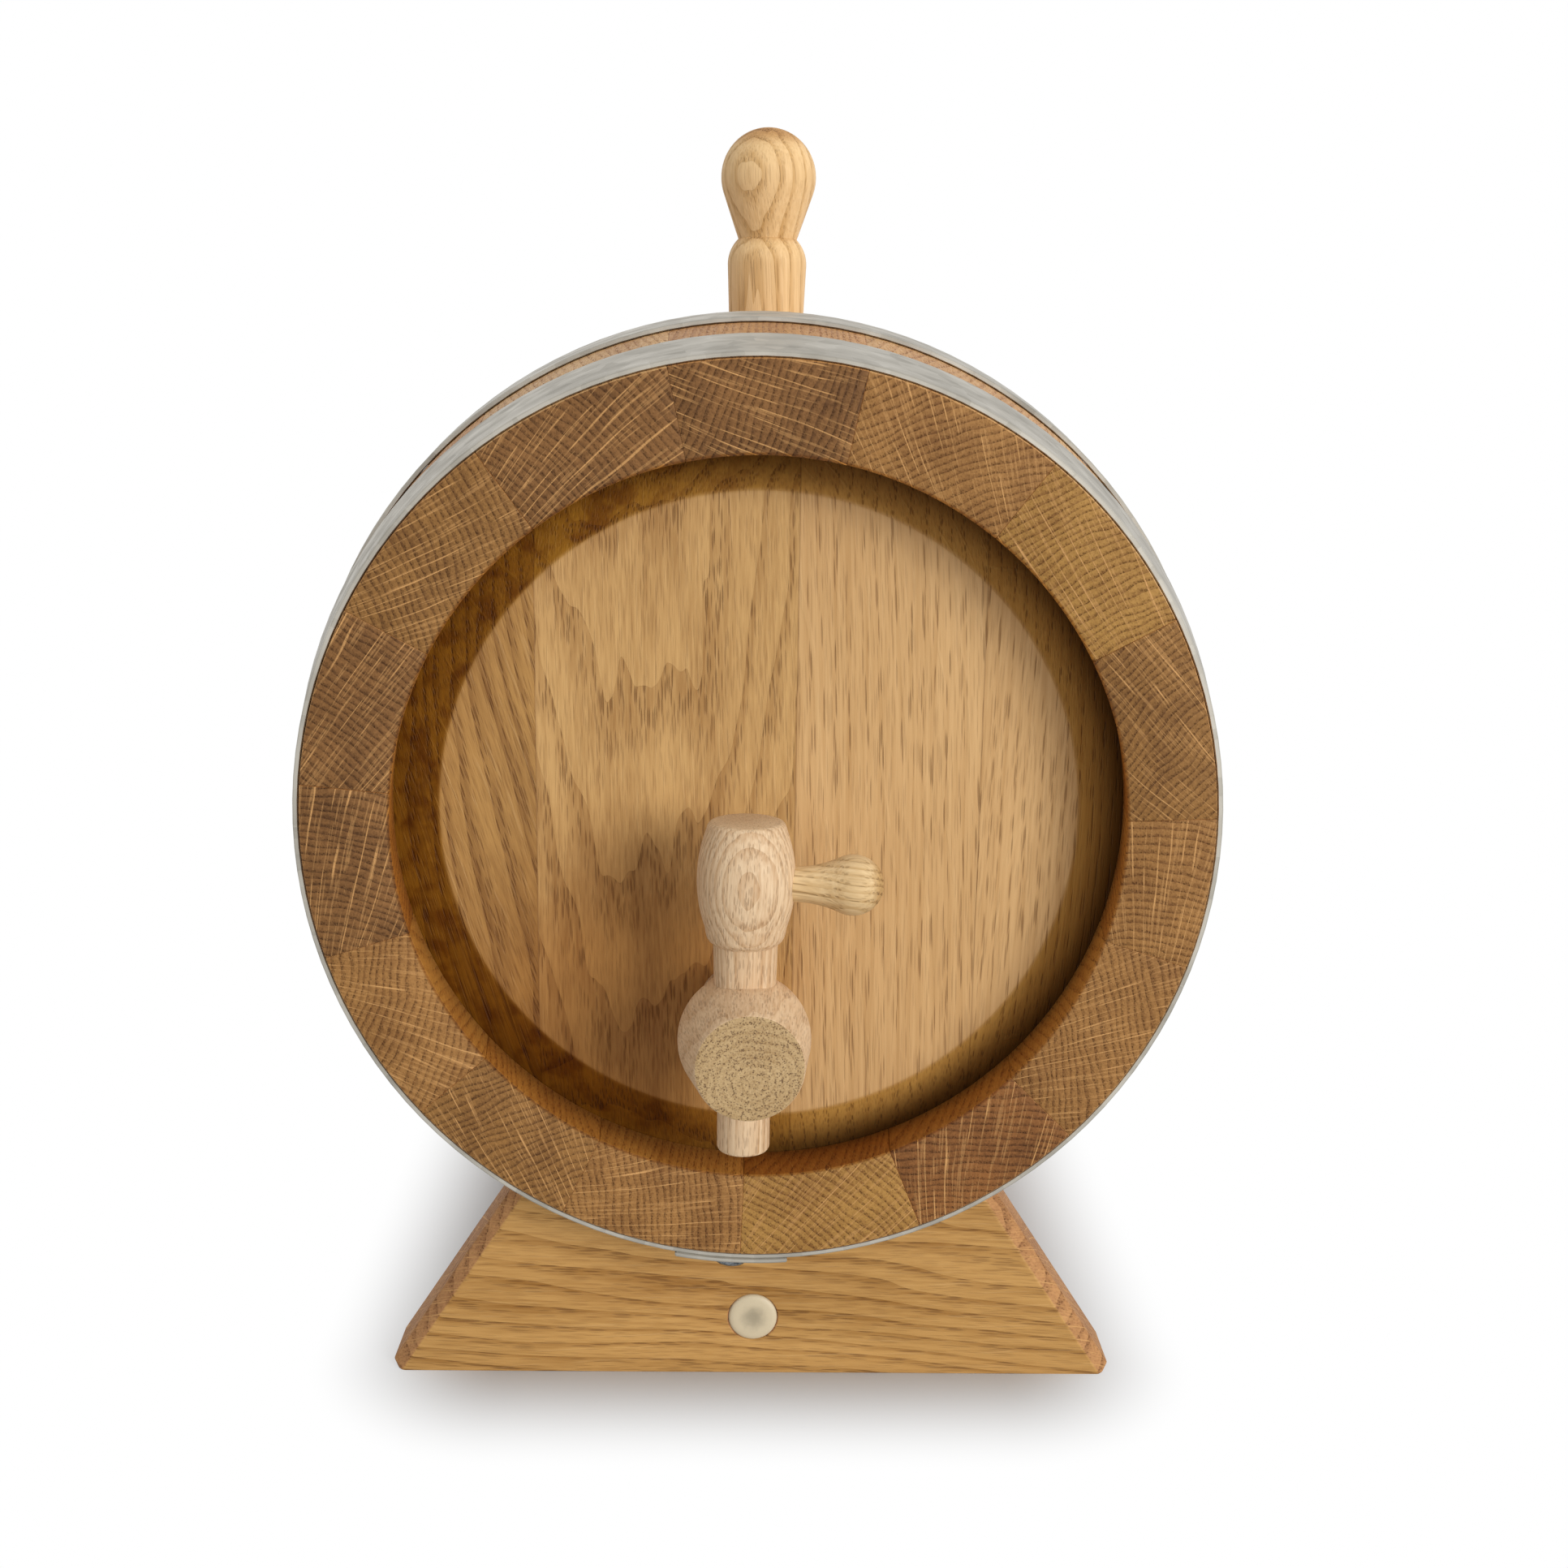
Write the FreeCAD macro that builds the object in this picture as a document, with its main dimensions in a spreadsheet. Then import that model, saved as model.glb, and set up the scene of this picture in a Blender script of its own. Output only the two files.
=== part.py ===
"""A five litre oak cask with a turned tap, a turned bung and a two-board cradle. Millimetres.

The cask lies along Y with its tapped head towards -Y. +Z is up, and the origin is on the floor, under the
middle of the whole object.
"""
import FreeCAD, Part
import math
import os

import Sketcher
from FreeCAD import Placement, Rotation, Vector

# Driving sizes. Lengths are in millimetres, and angles in degrees.
SIZES = {
    # The shell of the cask.
    "cask_length": 260.0,
    "chime_radius": 100.0,  # outside of the staves, at both ends
    "bilge_radius": 115.0,  # outside of the staves, half way along
    "bilge_thickness": 20.0,
    "chime_face": 19.6,  # width of the end grain face
    "chime_flare": 3.1,  # how far the inner wall opens out, from the end face to the croze
    "bung_lean": 0.3,  # how far the bung stave is turned from upright, towards +X
    # The heads.
    "head_recess": 16.5,
    "head_thickness": 12.0,
    "head_bevel_width": 14.0,
    "head_bevel_drop": 4.3,
    "head_edge_thickness": 3.5,
    "head_back_bevel_width": 8.5,
    "croze_depth": 3.0,
    "croze_clearance": 0.05,
    "head_dowel_radius": 2.0,
    "head_dowel_length": 16.0,
    "head_dowel_spread": 30.0,  # height of the dowels above and below the cask's axis
    "dowel_clearance": 0.05,
    "dowel_end_gap": 0.5,
    # The hoops.
    "hoop_width": 22.0,
    "hoop_thickness": 1.2,
    "hoop_clearance": 0.15,
    "chime_hoop_inset": 1.0,
    "quarter_hoop_inset": 54.0,
    "hoop_lap": 14.5,  # angle that the riveted lap covers
    "hoop_lap_turn": 3.0,  # how far the lap is turned from the lowest line, towards -X
    "rivet_head_radius": 3.75,
    "rivet_top_radius": 2.2,
    "rivet_head_height": 2.0,
    "rivet_edge": 0.6,  # upright rim of the rivet's head
    "rivet_shank_radius": 1.6,
    "rivet_pitch": 11.0,
    "rivet_clearance": 0.05,
    # The bung. Its heights are measured from the outside of the bung stave.
    "bung_hole_radius": 10.3,  # at the outside of the stave
    "bung_taper": 2.2,
    "bung_clearance": 0.05,
    "bung_reach": 23.0,
    "bung_shoulder_height": 13.5,
    "bung_shoulder_bulge": 0.65,  # how far the shoulder stands out from a plain bevel
    "bung_waist_height": 20.7,
    "bung_flank_angle": 19.3,  # slope of the ball's lower part, from upright
    "bung_ball_radius": 12.9,
    "bung_ball_height": 36.9,
    # The tap body. Its own origin is where the tap's axis crosses the key's axis.
    "tap_offset": -2.8,
    "tap_drop": 44.7,  # from the cask's axis down to the tap's axis
    "tap_turn": 4.0,  # how far the tap's front is turned from -Y, towards +X
    "key_overhang": 9.0,  # from the end of the cask out to the key's axis
    "tap_bulb_radius": 14.6,
    "tap_boss_angle": 9.5,  # slope of the cone between the bulb and the front disc
    "tap_boss_reach": 18.3,
    "tap_collar_radius": 10.4,
    "tap_collar_reach": 17.5,
    "tap_collar_bevel": 1.0,
    "tap_shank_radius": 8.6,  # at the front face of the head
    "tap_shank_taper": 1.5,
    "tap_shank_reach": 24.0,  # past the front face of the head
    "tap_bore_radius": 3.0,
    "tap_seat_clearance": 0.02,
    # The key, which is also the spout. Its heights are measured from the tap's axis.
    "key_handle_radius": 10.6,
    "key_handle_top_radius": 8.3,
    "key_handle_foot_radius": 8.5,
    "key_handle_top": 48.8,
    "key_handle_foot": 22.2,
    "key_top_bevel": 1.1,
    "key_foot_bevel": 2.2,
    "key_neck_radius": 7.0,
    "key_plug_top_radius": 6.8,
    "key_plug_foot_radius": 5.8,
    "key_clearance": 0.05,
    "spout_reach": 25.3,
    "spout_edge_round": 0.8,
    # The lever peg.
    "lever_height": 35.0,
    "lever_neck_radius": 3.85,
    "lever_tenon_radius": 3.0,
    "lever_tenon_length": 6.0,
    "lever_shoulder_sink": 0.4,  # how deep the neck is let into the handle
    "lever_clearance": 0.02,
    "lever_bulb_radius": 6.6,
    "lever_bulb_reach": 22.9,  # from the key's axis to the middle of the bulb
    # The cradle.
    "rail_gap": 1.54,  # from the rail up to the lowest rivet, or to the bilge where that is lower
    "cradle_inset": 26.0,
    "cradle_thickness": 18.0,
    "cradle_seat_clearance": 0.3,
    "cradle_wrap": 31.2,  # half the angle that a cradle board wraps round the cask
    "cradle_tip_flat": 2.2,
    "cradle_foot_half_width": 90.7,
    "cradle_foot_clip": 2.2,
    "cradle_bevel": 3.8,
    "rail_width": 45.0,
    "rail_height": 24.0,
    "rail_edge_bevel": 2.0,
    "screw_height": 15.0,
    "screw_head_radius": 5.0,
    "screw_head_length": 4.5,
    "screw_shoulder_radius": 3.5,
    "screw_core_radius": 2.5,
    "screw_length": 50.0,
    "screw_clearance": 0.1,
    "screw_tip_gap": 1.0,  # how much deeper than the screw its pilot hole goes
    "screw_socket_radius": 2.0,
    "screw_socket_depth": 2.5,
    "cap_radius": 6.0,
    "cap_thickness": 2.5,
    "cap_bevel": 0.5,
    "cap_dimple_radius": 2.4,
    "cap_dimple_depth": 0.3,
    "cap_clearance": 0.05,
    "cap_screw_gap": 0.45,
    "rail_dowel_radius": 3.0,
    "rail_dowel_length": 28.0,
    "rail_dowel_spread": 15.0,
}

# Relative widths of the staves, clockwise from the bung stave as seen from the front.
STAVE_WIDTHS = (24.1, 25.2, 24.4, 26.0, 19.7, 27.0, 23.1, 24.1, 24.1, 22.8, 23.7, 22.6, 22.7, 25.2, 25.3)

# Relative widths of the boards of each head, from left to right as seen from outside the cask.
HEAD_WIDTHS = {"front": (35.95, 58.6, 41.9, 36.45), "rear": (42.45, 42.0, 49.0, 39.45)}

FULL_TURN = 360.0
QUARTER_TURN = 90.0
EDGE_START, EDGE_END, CIRCLE_CENTRE = range(1, 4)  # how a sketch counts the points of an edge
H_AXIS, V_AXIS = range(-1, -3, -1)  # how a sketch counts its own axes; its origin is where H_AXIS starts
X_DIRECTION, Y_DIRECTION, Z_DIRECTION = Vector(1, 0, 0), Vector(0, 1, 0), Vector(0, 0, 1)

doc = FreeCAD.newDocument("oak_cask")
nodes = []


class Size:
    """A length or an angle, held as a number and as the sheet expression that gives it."""

    def __init__(self, value, text=None):
        self.value = float(value)
        self.text = text or f"({self.value!r})"

    def joined(self, sign, other, value):
        return Size(value, f"({self.text} {sign} {as_size(other).text})")

    def __add__(self, other):
        return self.joined("+", other, self.value + as_size(other).value)

    def __sub__(self, other):
        return self.joined("-", other, self.value - as_size(other).value)

    def __mul__(self, other):
        return self.joined("*", other, self.value * as_size(other).value)

    def __truediv__(self, other):
        return self.joined("/", other, self.value / as_size(other).value)

    def __neg__(self):
        return Size(0) - self


def as_size(item):
    return item if isinstance(item, Size) else Size(item)


def root(item):
    return Size(math.sqrt(item.value), f"sqrt({item.text})")


def larger(first, second):
    return Size(max(first.value, second.value), f"max({first.text}; {second.text})")


def sine(angle):
    return Size(math.sin(math.radians(angle.value)), f"sin({angle.text})")


def cosine(angle):
    return Size(math.cos(math.radians(angle.value)), f"cos({angle.text})")


def tangent(angle):
    return Size(math.tan(math.radians(angle.value)), f"tan({angle.text})")


def make_sheet():
    """Write the driving sizes into the sheet and return each as a Size under its own name."""
    sheet = doc.addObject("Spreadsheet::Sheet", "Sizes")
    cells = dict(SIZES)
    for number, width in enumerate(STAVE_WIDTHS, 1):
        cells[f"stave_width_{number:02d}"] = width
    for side, widths in HEAD_WIDTHS.items():
        for number, width in enumerate(widths, 1):
            cells[f"{side}_board_width_{number}"] = width
    for row, (name, value) in enumerate(cells.items(), 1):
        sheet.set(f"A{row}", name)
        sheet.set(f"B{row}", str(value))
        sheet.setAlias(f"B{row}", name)
    doc.recompute()
    return {name: Size(sheet.get(name), f"Sizes.{name}") for name in cells}


size = make_sheet()
ZERO = Size(0)


# ---- Helpers for bodies, sketches and features ----


def new_body(name, place=Placement(), is_node=True):
    body = doc.addObject("PartDesign::Body", name)
    body.Label = name
    body.Placement = place
    if is_node:
        nodes.append(body)
    return body


def bind(feature, prop, item):
    feature.setExpression(prop, item.text)


def new_sketch(body, role, name):
    sketch = body.newObject("Sketcher::SketchObject", f"{body.Name}_{name}")
    planes = [feature for feature in body.Origin.OriginFeatures if feature.Role == role]
    sketch.AttachmentSupport = [(planes[0], "")]
    sketch.MapMode = "FlatFace"
    return sketch


def hold(sketch, geometry, end, corner):
    """Hold one point of a sketch at the place that two sheet expressions give."""
    for kind, place, axis in (("DistanceX", corner[0], V_AXIS), ("DistanceY", corner[1], H_AXIS)):
        if place is ZERO:
            sketch.addConstraint(Sketcher.Constraint("PointOnObject", geometry, end, axis))
            continue
        held = Sketcher.Constraint(kind, H_AXIS, EDGE_START, geometry, end, place.value)
        number = sketch.addConstraint(held)
        sketch.setExpression(f"Constraints[{number}]", place.text)


def flat(corner):
    return Vector(corner[0].value, corner[1].value, 0)


def stands_off(middle, before, corner):
    """Whether a point stands off the straight line between two corners, so that an arc can pass through it."""
    return flat(middle).distanceToLine(flat(before), flat(corner) - flat(before)) > 1e-6


def outline(body, role, name, *steps):
    """Draw a closed outline. A step is a corner, or a point that an arc passes through and its end corner."""
    sketch = new_sketch(body, role, name)
    corners = [step[-1] if isinstance(step[0], tuple) else step for step in steps]
    first = None
    for step, before in zip(steps, corners[-1:] + corners[:-1]):
        corner = step[-1] if isinstance(step[0], tuple) else step
        bent = corner is not step and stands_off(step[0], before, corner)
        if bent:
            edge = Part.Arc(flat(before), flat(step[0]), flat(corner))
        else:
            edge = Part.LineSegment(flat(before), flat(corner))
        number = sketch.addGeometry(edge, False)
        edge_start, edge_end = ends_of(sketch, number, before)
        if first is None:
            first = (number, edge_start)
        else:
            sketch.addConstraint(Sketcher.Constraint("Coincident", *last, number, edge_start))
        last = (number, edge_end)
        hold(sketch, number, edge_end, corner)
        if bent:
            through = sketch.addGeometry(Part.Point(flat(step[0])), True)
            sketch.addConstraint(Sketcher.Constraint("PointOnObject", through, EDGE_START, number))
            hold(sketch, through, EDGE_START, step[0])
    sketch.addConstraint(Sketcher.Constraint("Coincident", *last, *first))
    return sketch


def ends_of(sketch, number, before):
    """The two ends of an edge, the one at the corner before it first: an arc may run either way."""
    if sketch.getPoint(number, EDGE_START).distanceToPoint(flat(before)) < 1e-6:
        return EDGE_START, EDGE_END
    return EDGE_END, EDGE_START


def circle(body, role, name, centre, radius):
    sketch = new_sketch(body, role, name)
    number = sketch.addGeometry(Part.Circle(flat(centre), Z_DIRECTION, radius.value), False)
    hold(sketch, number, CIRCLE_CENTRE, centre)
    held = sketch.addConstraint(Sketcher.Constraint("Radius", number, radius.value))
    sketch.setExpression(f"Constraints[{held}]", radius.text)
    return sketch


def revolve(body, sketch, axis, angle=None):
    turned = body.newObject("PartDesign::Revolution", f"{sketch.Name}_turned")
    turned.Profile = sketch
    turned.ReferenceAxis = (sketch, [axis])
    turned.Angle = FULL_TURN
    if angle:
        turned.Midplane = True
        bind(turned, "Angle", angle)
    doc.recompute()
    return turned


def cut_feature(body, kind, sketch, **settings):
    """Add a Pocket or a Groove, and make sure that it takes something away."""
    doc.recompute()
    before = body.Shape.Volume
    cut = body.newObject(f"PartDesign::{kind}", f"{sketch.Name}_cut")
    cut.Profile = sketch
    for name, value in settings.items():
        setattr(cut, name, value)
    doc.recompute()
    if not body.Shape.Volume < before:
        raise RuntimeError(f"{cut.Name} cuts nothing from {body.Name}")
    return cut


def groove(body, sketch, axis):
    return cut_feature(body, "Groove", sketch, ReferenceAxis=(sketch, [axis]), Angle=FULL_TURN)


def pocket(body, sketch, towards_normal=False):
    return cut_feature(body, "Pocket", sketch, Type="ThroughAll", Reversed=towards_normal)


def pad(body, sketch, length, towards_normal=True):
    raised = body.newObject("PartDesign::Pad", f"{sketch.Name}_pad")
    raised.Profile = sketch
    raised.Reversed = not towards_normal
    bind(raised, "Length", length)
    doc.recompute()
    return raised


def bevel(body, distance, picked):
    """Bevel the edges of the body that a test picks."""
    base = body.Tip
    names = [f"Edge{number}" for number, edge in enumerate(base.Shape.Edges, 1) if picked(edge)]
    cut = body.newObject("PartDesign::Chamfer", f"{body.Name}_bevel")
    cut.Base = (base, names)
    bind(cut, "Size", distance)
    doc.recompute()
    return cut


def rod(name, place, radius, length):
    """A cylinder along the X axis of its place, with the place at its middle."""
    cylinder = doc.addObject("Part::Cylinder", name)
    bind(cylinder, "Radius", radius)
    bind(cylinder, "Height", length)
    start = Placement(Vector(-length.value / 2, 0, 0), Rotation(Y_DIRECTION, QUARTER_TURN))
    cylinder.Placement = place.multiply(start)
    return cylinder


def group(name, members, is_node=True):
    gathered = doc.addObject("Part::Compound", name)
    gathered.Label = name
    gathered.Links = members
    if is_node:
        nodes.append(gathered)
    return gathered


def drilled(name, base, tool):
    """The base with the tool's shape taken out of it."""
    cut = doc.addObject("Part::Cut", name)
    cut.Label = name
    cut.Base = base
    cut.Tool = tool
    nodes.append(cut)
    return cut


# ---- Places and shared measures ----

half_length = size["cask_length"] / 2
bilge_rise = size["bilge_radius"] - size["chime_radius"]
stave_bend = (half_length * half_length + bilge_rise * bilge_rise) / (bilge_rise * 2)


def outside_radius(depth):
    """The radius of the cask's outside at a depth from its end."""
    run = half_length - depth
    return size["bilge_radius"] - stave_bend + root(stave_bend * stave_bend - run * run)


def lap_radius(inset, depth):
    """The outside of a hoop's lap at a depth from the cask's end."""
    near, far = outside_radius(inset), outside_radius(inset + size["hoop_width"])
    along = (depth - inset) / size["hoop_width"]
    return near + (far - near) * along + size["hoop_clearance"] + size["hoop_thickness"] * 2


def rivet_depths(inset):
    """The depths of a hoop's two rivets from the cask's end."""
    middle = inset + size["hoop_width"] / 2
    return middle - size["rivet_pitch"] / 2, middle + size["rivet_pitch"] / 2


# The cask hangs over the rail by a small gap.
rail_bottom = size["screw_height"] - size["rail_height"] / 2
rail_top = rail_bottom + size["rail_height"]
quarter_inset = size["quarter_hoop_inset"]
rivet_reach = lap_radius(quarter_inset, rivet_depths(quarter_inset)[1]) + size["rivet_head_height"]
axis_height = rail_top + size["rail_gap"] + larger(rivet_reach, size["bilge_radius"])

# The whole object is centred along Y, between the cask's rear end and the foremost edge of the tap's disc.
boss_slope, boss_reach = size["tap_boss_angle"], size["tap_boss_reach"]
disc_radius = (size["tap_bulb_radius"] - boss_reach * sine(boss_slope)) / cosine(boss_slope)
disc_front = boss_reach * cosine(size["tap_turn"]) + disc_radius * sine(size["tap_turn"])
front_reach = size["key_overhang"] + disc_front
front_plane = -(size["cask_length"] + front_reach) / 2 + front_reach

# At its front end the cask's own frame has its origin on the cask's axis, with Y running into the cask.
FRONT_END = Placement(Vector(0, front_plane.value, axis_height.value), Rotation())
REAR_END = Placement(
    Vector(0, (front_plane + size["cask_length"]).value, axis_height.value), Rotation(Z_DIRECTION, 180)
)


def turned_about_axis(end, angle):
    """A place at one end of the cask, turned about the cask's axis."""
    return end.multiply(Placement(Vector(), Rotation(Y_DIRECTION, angle)))


# ---- Staves ----

inside_bilge_radius = size["bilge_radius"] - size["bilge_thickness"]
mouth_radius = size["chime_radius"] - size["chime_face"]
throat_radius = mouth_radius + size["chime_flare"]
croze_radius = throat_radius + size["croze_depth"]
head_radius = croze_radius - size["croze_clearance"]

# The edge of a head is a wedge, and the croze is cut to the same two slopes.
head_back = size["head_recess"] + size["head_thickness"]
edge_front = size["head_recess"] + size["head_bevel_drop"]
edge_back = edge_front + size["head_edge_thickness"]
front_slope = size["head_bevel_drop"] / size["head_bevel_width"]
back_slope = (head_back - edge_back) / size["head_back_bevel_width"]
croze_front_floor = edge_front - size["croze_clearance"]
croze_back_floor = edge_back + size["croze_clearance"]
croze_front_mouth = croze_front_floor - size["croze_depth"] * front_slope
croze_back_mouth = croze_back_floor + size["croze_depth"] * back_slope


def stave_section(body):
    """The section of the shell: barrelled outside, chimes that open inwards, crozes and a hollowed middle."""
    length = size["cask_length"]
    return outline(
        body, "YZ_Plane", "section",
        (ZERO, size["chime_radius"]),
        ((half_length, size["bilge_radius"]), (length, size["chime_radius"])),
        (length, mouth_radius),
        (length - croze_front_mouth, throat_radius),
        (length - croze_front_floor, croze_radius),
        (length - croze_back_floor, croze_radius),
        (length - croze_back_mouth, throat_radius),
        ((half_length, inside_bilge_radius), (croze_back_mouth, throat_radius)),
        (croze_back_floor, croze_radius),
        (croze_front_floor, croze_radius),
        (croze_front_mouth, throat_radius),
        (ZERO, mouth_radius),
    )


def bung_radius(height):
    """The radius of the bung hole at a height above the outside of the stave."""
    return size["bung_hole_radius"] + (height * tangent(size["bung_taper"]))


def make_staves():
    total = ZERO
    widths = [size[f"stave_width_{number:02d}"] for number in range(1, len(STAVE_WIDTHS) + 1)]
    for width in widths:
        total = total + width
    turn = size["bung_lean"].value
    for number, width in enumerate(widths, 1):
        angle = width / total * FULL_TURN
        if number > 1:
            turn += angle.value / 2
        body = new_body(f"stave_{number:02d}", turned_about_axis(FRONT_END, turn))
        revolve(body, stave_section(body), "H_Axis", angle)
        if number == 1:
            cut_bung_hole(body)
        turn += angle.value / 2


def cut_bung_hole(body):
    """The tapered hole in the middle of the bung stave."""
    low = inside_bilge_radius - size["bung_hole_radius"]
    high = size["bilge_radius"] + size["bung_hole_radius"]
    hole = outline(
        body, "YZ_Plane", "bung_hole",
        (half_length, low),
        (half_length + bung_radius(low - size["bilge_radius"]), low),
        (half_length + bung_radius(high - size["bilge_radius"]), high),
        (half_length, high),
    )
    groove(body, hole, "Edge1")


# ---- Heads ----


def head_section(body):
    """Half the section of a head: flat boards whose rim is bevelled on both faces to fit the croze."""
    return outline(
        body, "YZ_Plane", "section",
        (size["head_recess"], ZERO),
        (size["head_recess"], head_radius - size["head_bevel_width"]),
        (edge_front, head_radius),
        (edge_back, head_radius),
        (head_back, head_radius - size["head_back_bevel_width"]),
        (head_back, ZERO),
    )


def cut_beside(body, name, near, far):
    """Cut the head away between two upright lines."""
    strip = outline(
        body, "XZ_Plane", name,
        (near, -size["chime_radius"]),
        (far, -size["chime_radius"]),
        (far, size["chime_radius"]),
        (near, size["chime_radius"]),
    )
    pocket(body, strip)


def head_joints(side):
    """Where the boards of a head meet, measured across from the cask's axis."""
    widths = [size[f"{side}_board_width_{number}"] for number in range(1, len(HEAD_WIDTHS[side]) + 1)]
    total = ZERO
    for width in widths:
        total = total + width
    joints = [-head_radius]
    for width in widths[:-1]:
        joints.append(joints[-1] + width / total * head_radius * 2)
    return joints[1:]


def make_head(side, end, extra_tools):
    """Four boards with loose dowels across their joints, turned to one round head."""
    joints = head_joints(side)
    middle = size["head_recess"] + size["head_thickness"] / 2
    dowels, holes = [], []
    for number, joint in enumerate(joints, 1):
        for level, height in (("low", -size["head_dowel_spread"]), ("high", size["head_dowel_spread"])):
            place = end.multiply(Placement(Vector(joint.value, middle.value, height.value), Rotation()))
            mark = f"{side}_{number}_{level}"
            dowels.append(rod(f"dowel_{mark}", place, size["head_dowel_radius"], size["head_dowel_length"]))
            hole_radius = size["head_dowel_radius"] + size["dowel_clearance"]
            hole_length = size["head_dowel_length"] + size["dowel_end_gap"] * 2
            holes.append(rod(f"dowel_hole_{mark}", place, hole_radius, hole_length))
    tools = group(f"{side}_head_holes", holes + extra_tools, is_node=False)
    for number in range(1, len(joints) + 2):
        board = new_body(f"{side}_head_blank_{number}", end, is_node=False)
        revolve(board, head_section(board), "H_Axis")
        if number > 1:
            cut_beside(board, "left", joints[number - 2], -size["chime_radius"])
        if number <= len(joints):
            cut_beside(board, "right", joints[number - 1], size["chime_radius"])
        drilled(f"{side}_head_board_{number}", board, tools)
    group(f"{side}_head_dowels", dowels)


# ---- Hoops ----


def hoop_section(body, name, inset, lift):
    """The section of a hoop's strip: a flat band that lies along the slope of the staves."""
    far = inset + size["hoop_width"]
    near_radius = outside_radius(inset) + size["hoop_clearance"] + lift
    far_radius = outside_radius(far) + size["hoop_clearance"] + lift
    thickness = size["hoop_thickness"]
    return outline(
        body, "YZ_Plane", name,
        (inset, near_radius),
        (inset, near_radius + thickness),
        (far, far_radius + thickness),
        (far, far_radius),
    )


def make_rivet(name, place):
    """A rivet with a sloped head outside and a shank that ends just short of the strip's inside."""
    body = new_body(name, place, is_node=False)
    shank, base = size["rivet_shank_radius"], size["rivet_head_radius"]
    shank_end = -size["hoop_thickness"] * 1.9
    section = outline(
        body, "XZ_Plane", "section",
        (ZERO, shank_end),
        (shank, shank_end),
        (shank, ZERO),
        (base, ZERO),
        (base, size["rivet_edge"]),
        (size["rivet_top_radius"], size["rivet_head_height"]),
        (ZERO, size["rivet_head_height"]),
    )
    revolve(body, section, "V_Axis")
    return body


def make_hoop(name, end, inset):
    """A hoop with its ends lapped under the cask and fastened with two rivets."""
    lap_turn = 180 + math.copysign(size["hoop_lap_turn"].value, end.Rotation.multVec(X_DIRECTION).x)
    place = turned_about_axis(end, lap_turn)
    body = new_body(f"{name}_strip", place, is_node=False)
    revolve(body, hoop_section(body, "ring", inset, ZERO), "H_Axis")
    revolve(body, hoop_section(body, "lap", inset, size["hoop_thickness"]), "H_Axis", size["hoop_lap"])
    far = inset + size["hoop_width"]
    rise = outside_radius(far) - outside_radius(inset)
    slope = math.degrees(math.atan2(rise.value, size["hoop_width"].value))
    rivets, holes = [], []
    for number, depth in enumerate(rivet_depths(inset), 1):
        radius = lap_radius(inset, depth)
        seat = Placement(Vector(0, depth.value, radius.value), Rotation(X_DIRECTION, slope))
        rivets.append(make_rivet(f"{name}_rivet_{number}", place.multiply(seat)))
        upright = seat.multiply(Placement(Vector(), Rotation(Y_DIRECTION, QUARTER_TURN)))
        hole_radius = size["rivet_shank_radius"] + size["rivet_clearance"]
        length = size["hoop_thickness"] * 6
        holes.append(rod(f"{name}_rivet_hole_{number}", place.multiply(upright), hole_radius, length))
    drilled(name, body, group(f"{name}_rivet_holes", holes, is_node=False))
    group(f"{name}_rivets", rivets)


# ---- Bung ----


def make_bung():
    """A turned bung: a ball that narrows to a sharp waist, a round shoulder and a shank into the stave."""
    seat = turned_about_axis(FRONT_END, size["bung_lean"].value)
    body = new_body("bung", seat.multiply(Placement(Vector(0, half_length.value, 0), Rotation())))
    outside = size["bilge_radius"]

    def shank_radius(height):
        return bung_radius(height) - size["bung_clearance"]

    shoulder, waist = size["bung_shoulder_height"], size["bung_waist_height"]
    ball, centre, flank = size["bung_ball_radius"], size["bung_ball_height"], size["bung_flank_angle"]
    waist_radius = (ball - (centre - waist) * sine(flank)) / cosine(flank)
    bulge = size["bung_shoulder_bulge"]
    middle_radius = (shank_radius(shoulder) + waist_radius) / 2 + bulge
    middle_height = (shoulder + waist) / 2 + bulge
    section = outline(
        body, "XZ_Plane", "section",
        (ZERO, outside - size["bung_reach"]),
        (shank_radius(-size["bung_reach"]), outside - size["bung_reach"]),
        (shank_radius(shoulder), outside + shoulder),
        ((middle_radius, outside + middle_height), (waist_radius, outside + waist)),
        (ball * cosine(flank), outside + centre - ball * sine(flank)),
        ((ball, outside + centre), (ZERO, outside + centre + ball)),
    )
    revolve(body, section, "V_Axis")


# ---- Tap ----

key_place = Placement(
    Vector(
        size["tap_offset"].value,
        (front_plane - size["key_overhang"]).value,
        (axis_height - size["tap_drop"]).value,
    ),
    Rotation(),
)
tap_place = Placement(key_place.Base, Rotation(Z_DIRECTION, size["tap_turn"].value))
head_face = size["key_overhang"] + size["head_recess"]  # from the key's axis to the front head


def tap_shank_radius(depth):
    """The radius of the tap's tapered shank at a depth behind the key's axis."""
    return size["tap_shank_radius"] - (depth - head_face) * tangent(size["tap_shank_taper"])


def key_plug_radius(height):
    """The radius of the key's tapered plug at a height above the tap's axis."""
    top, foot = size["tap_bulb_radius"], -size["tap_bulb_radius"]
    share = (height - foot) / (top - foot)
    narrow = size["key_plug_foot_radius"]
    return narrow + share * (size["key_plug_top_radius"] - narrow)


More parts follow.
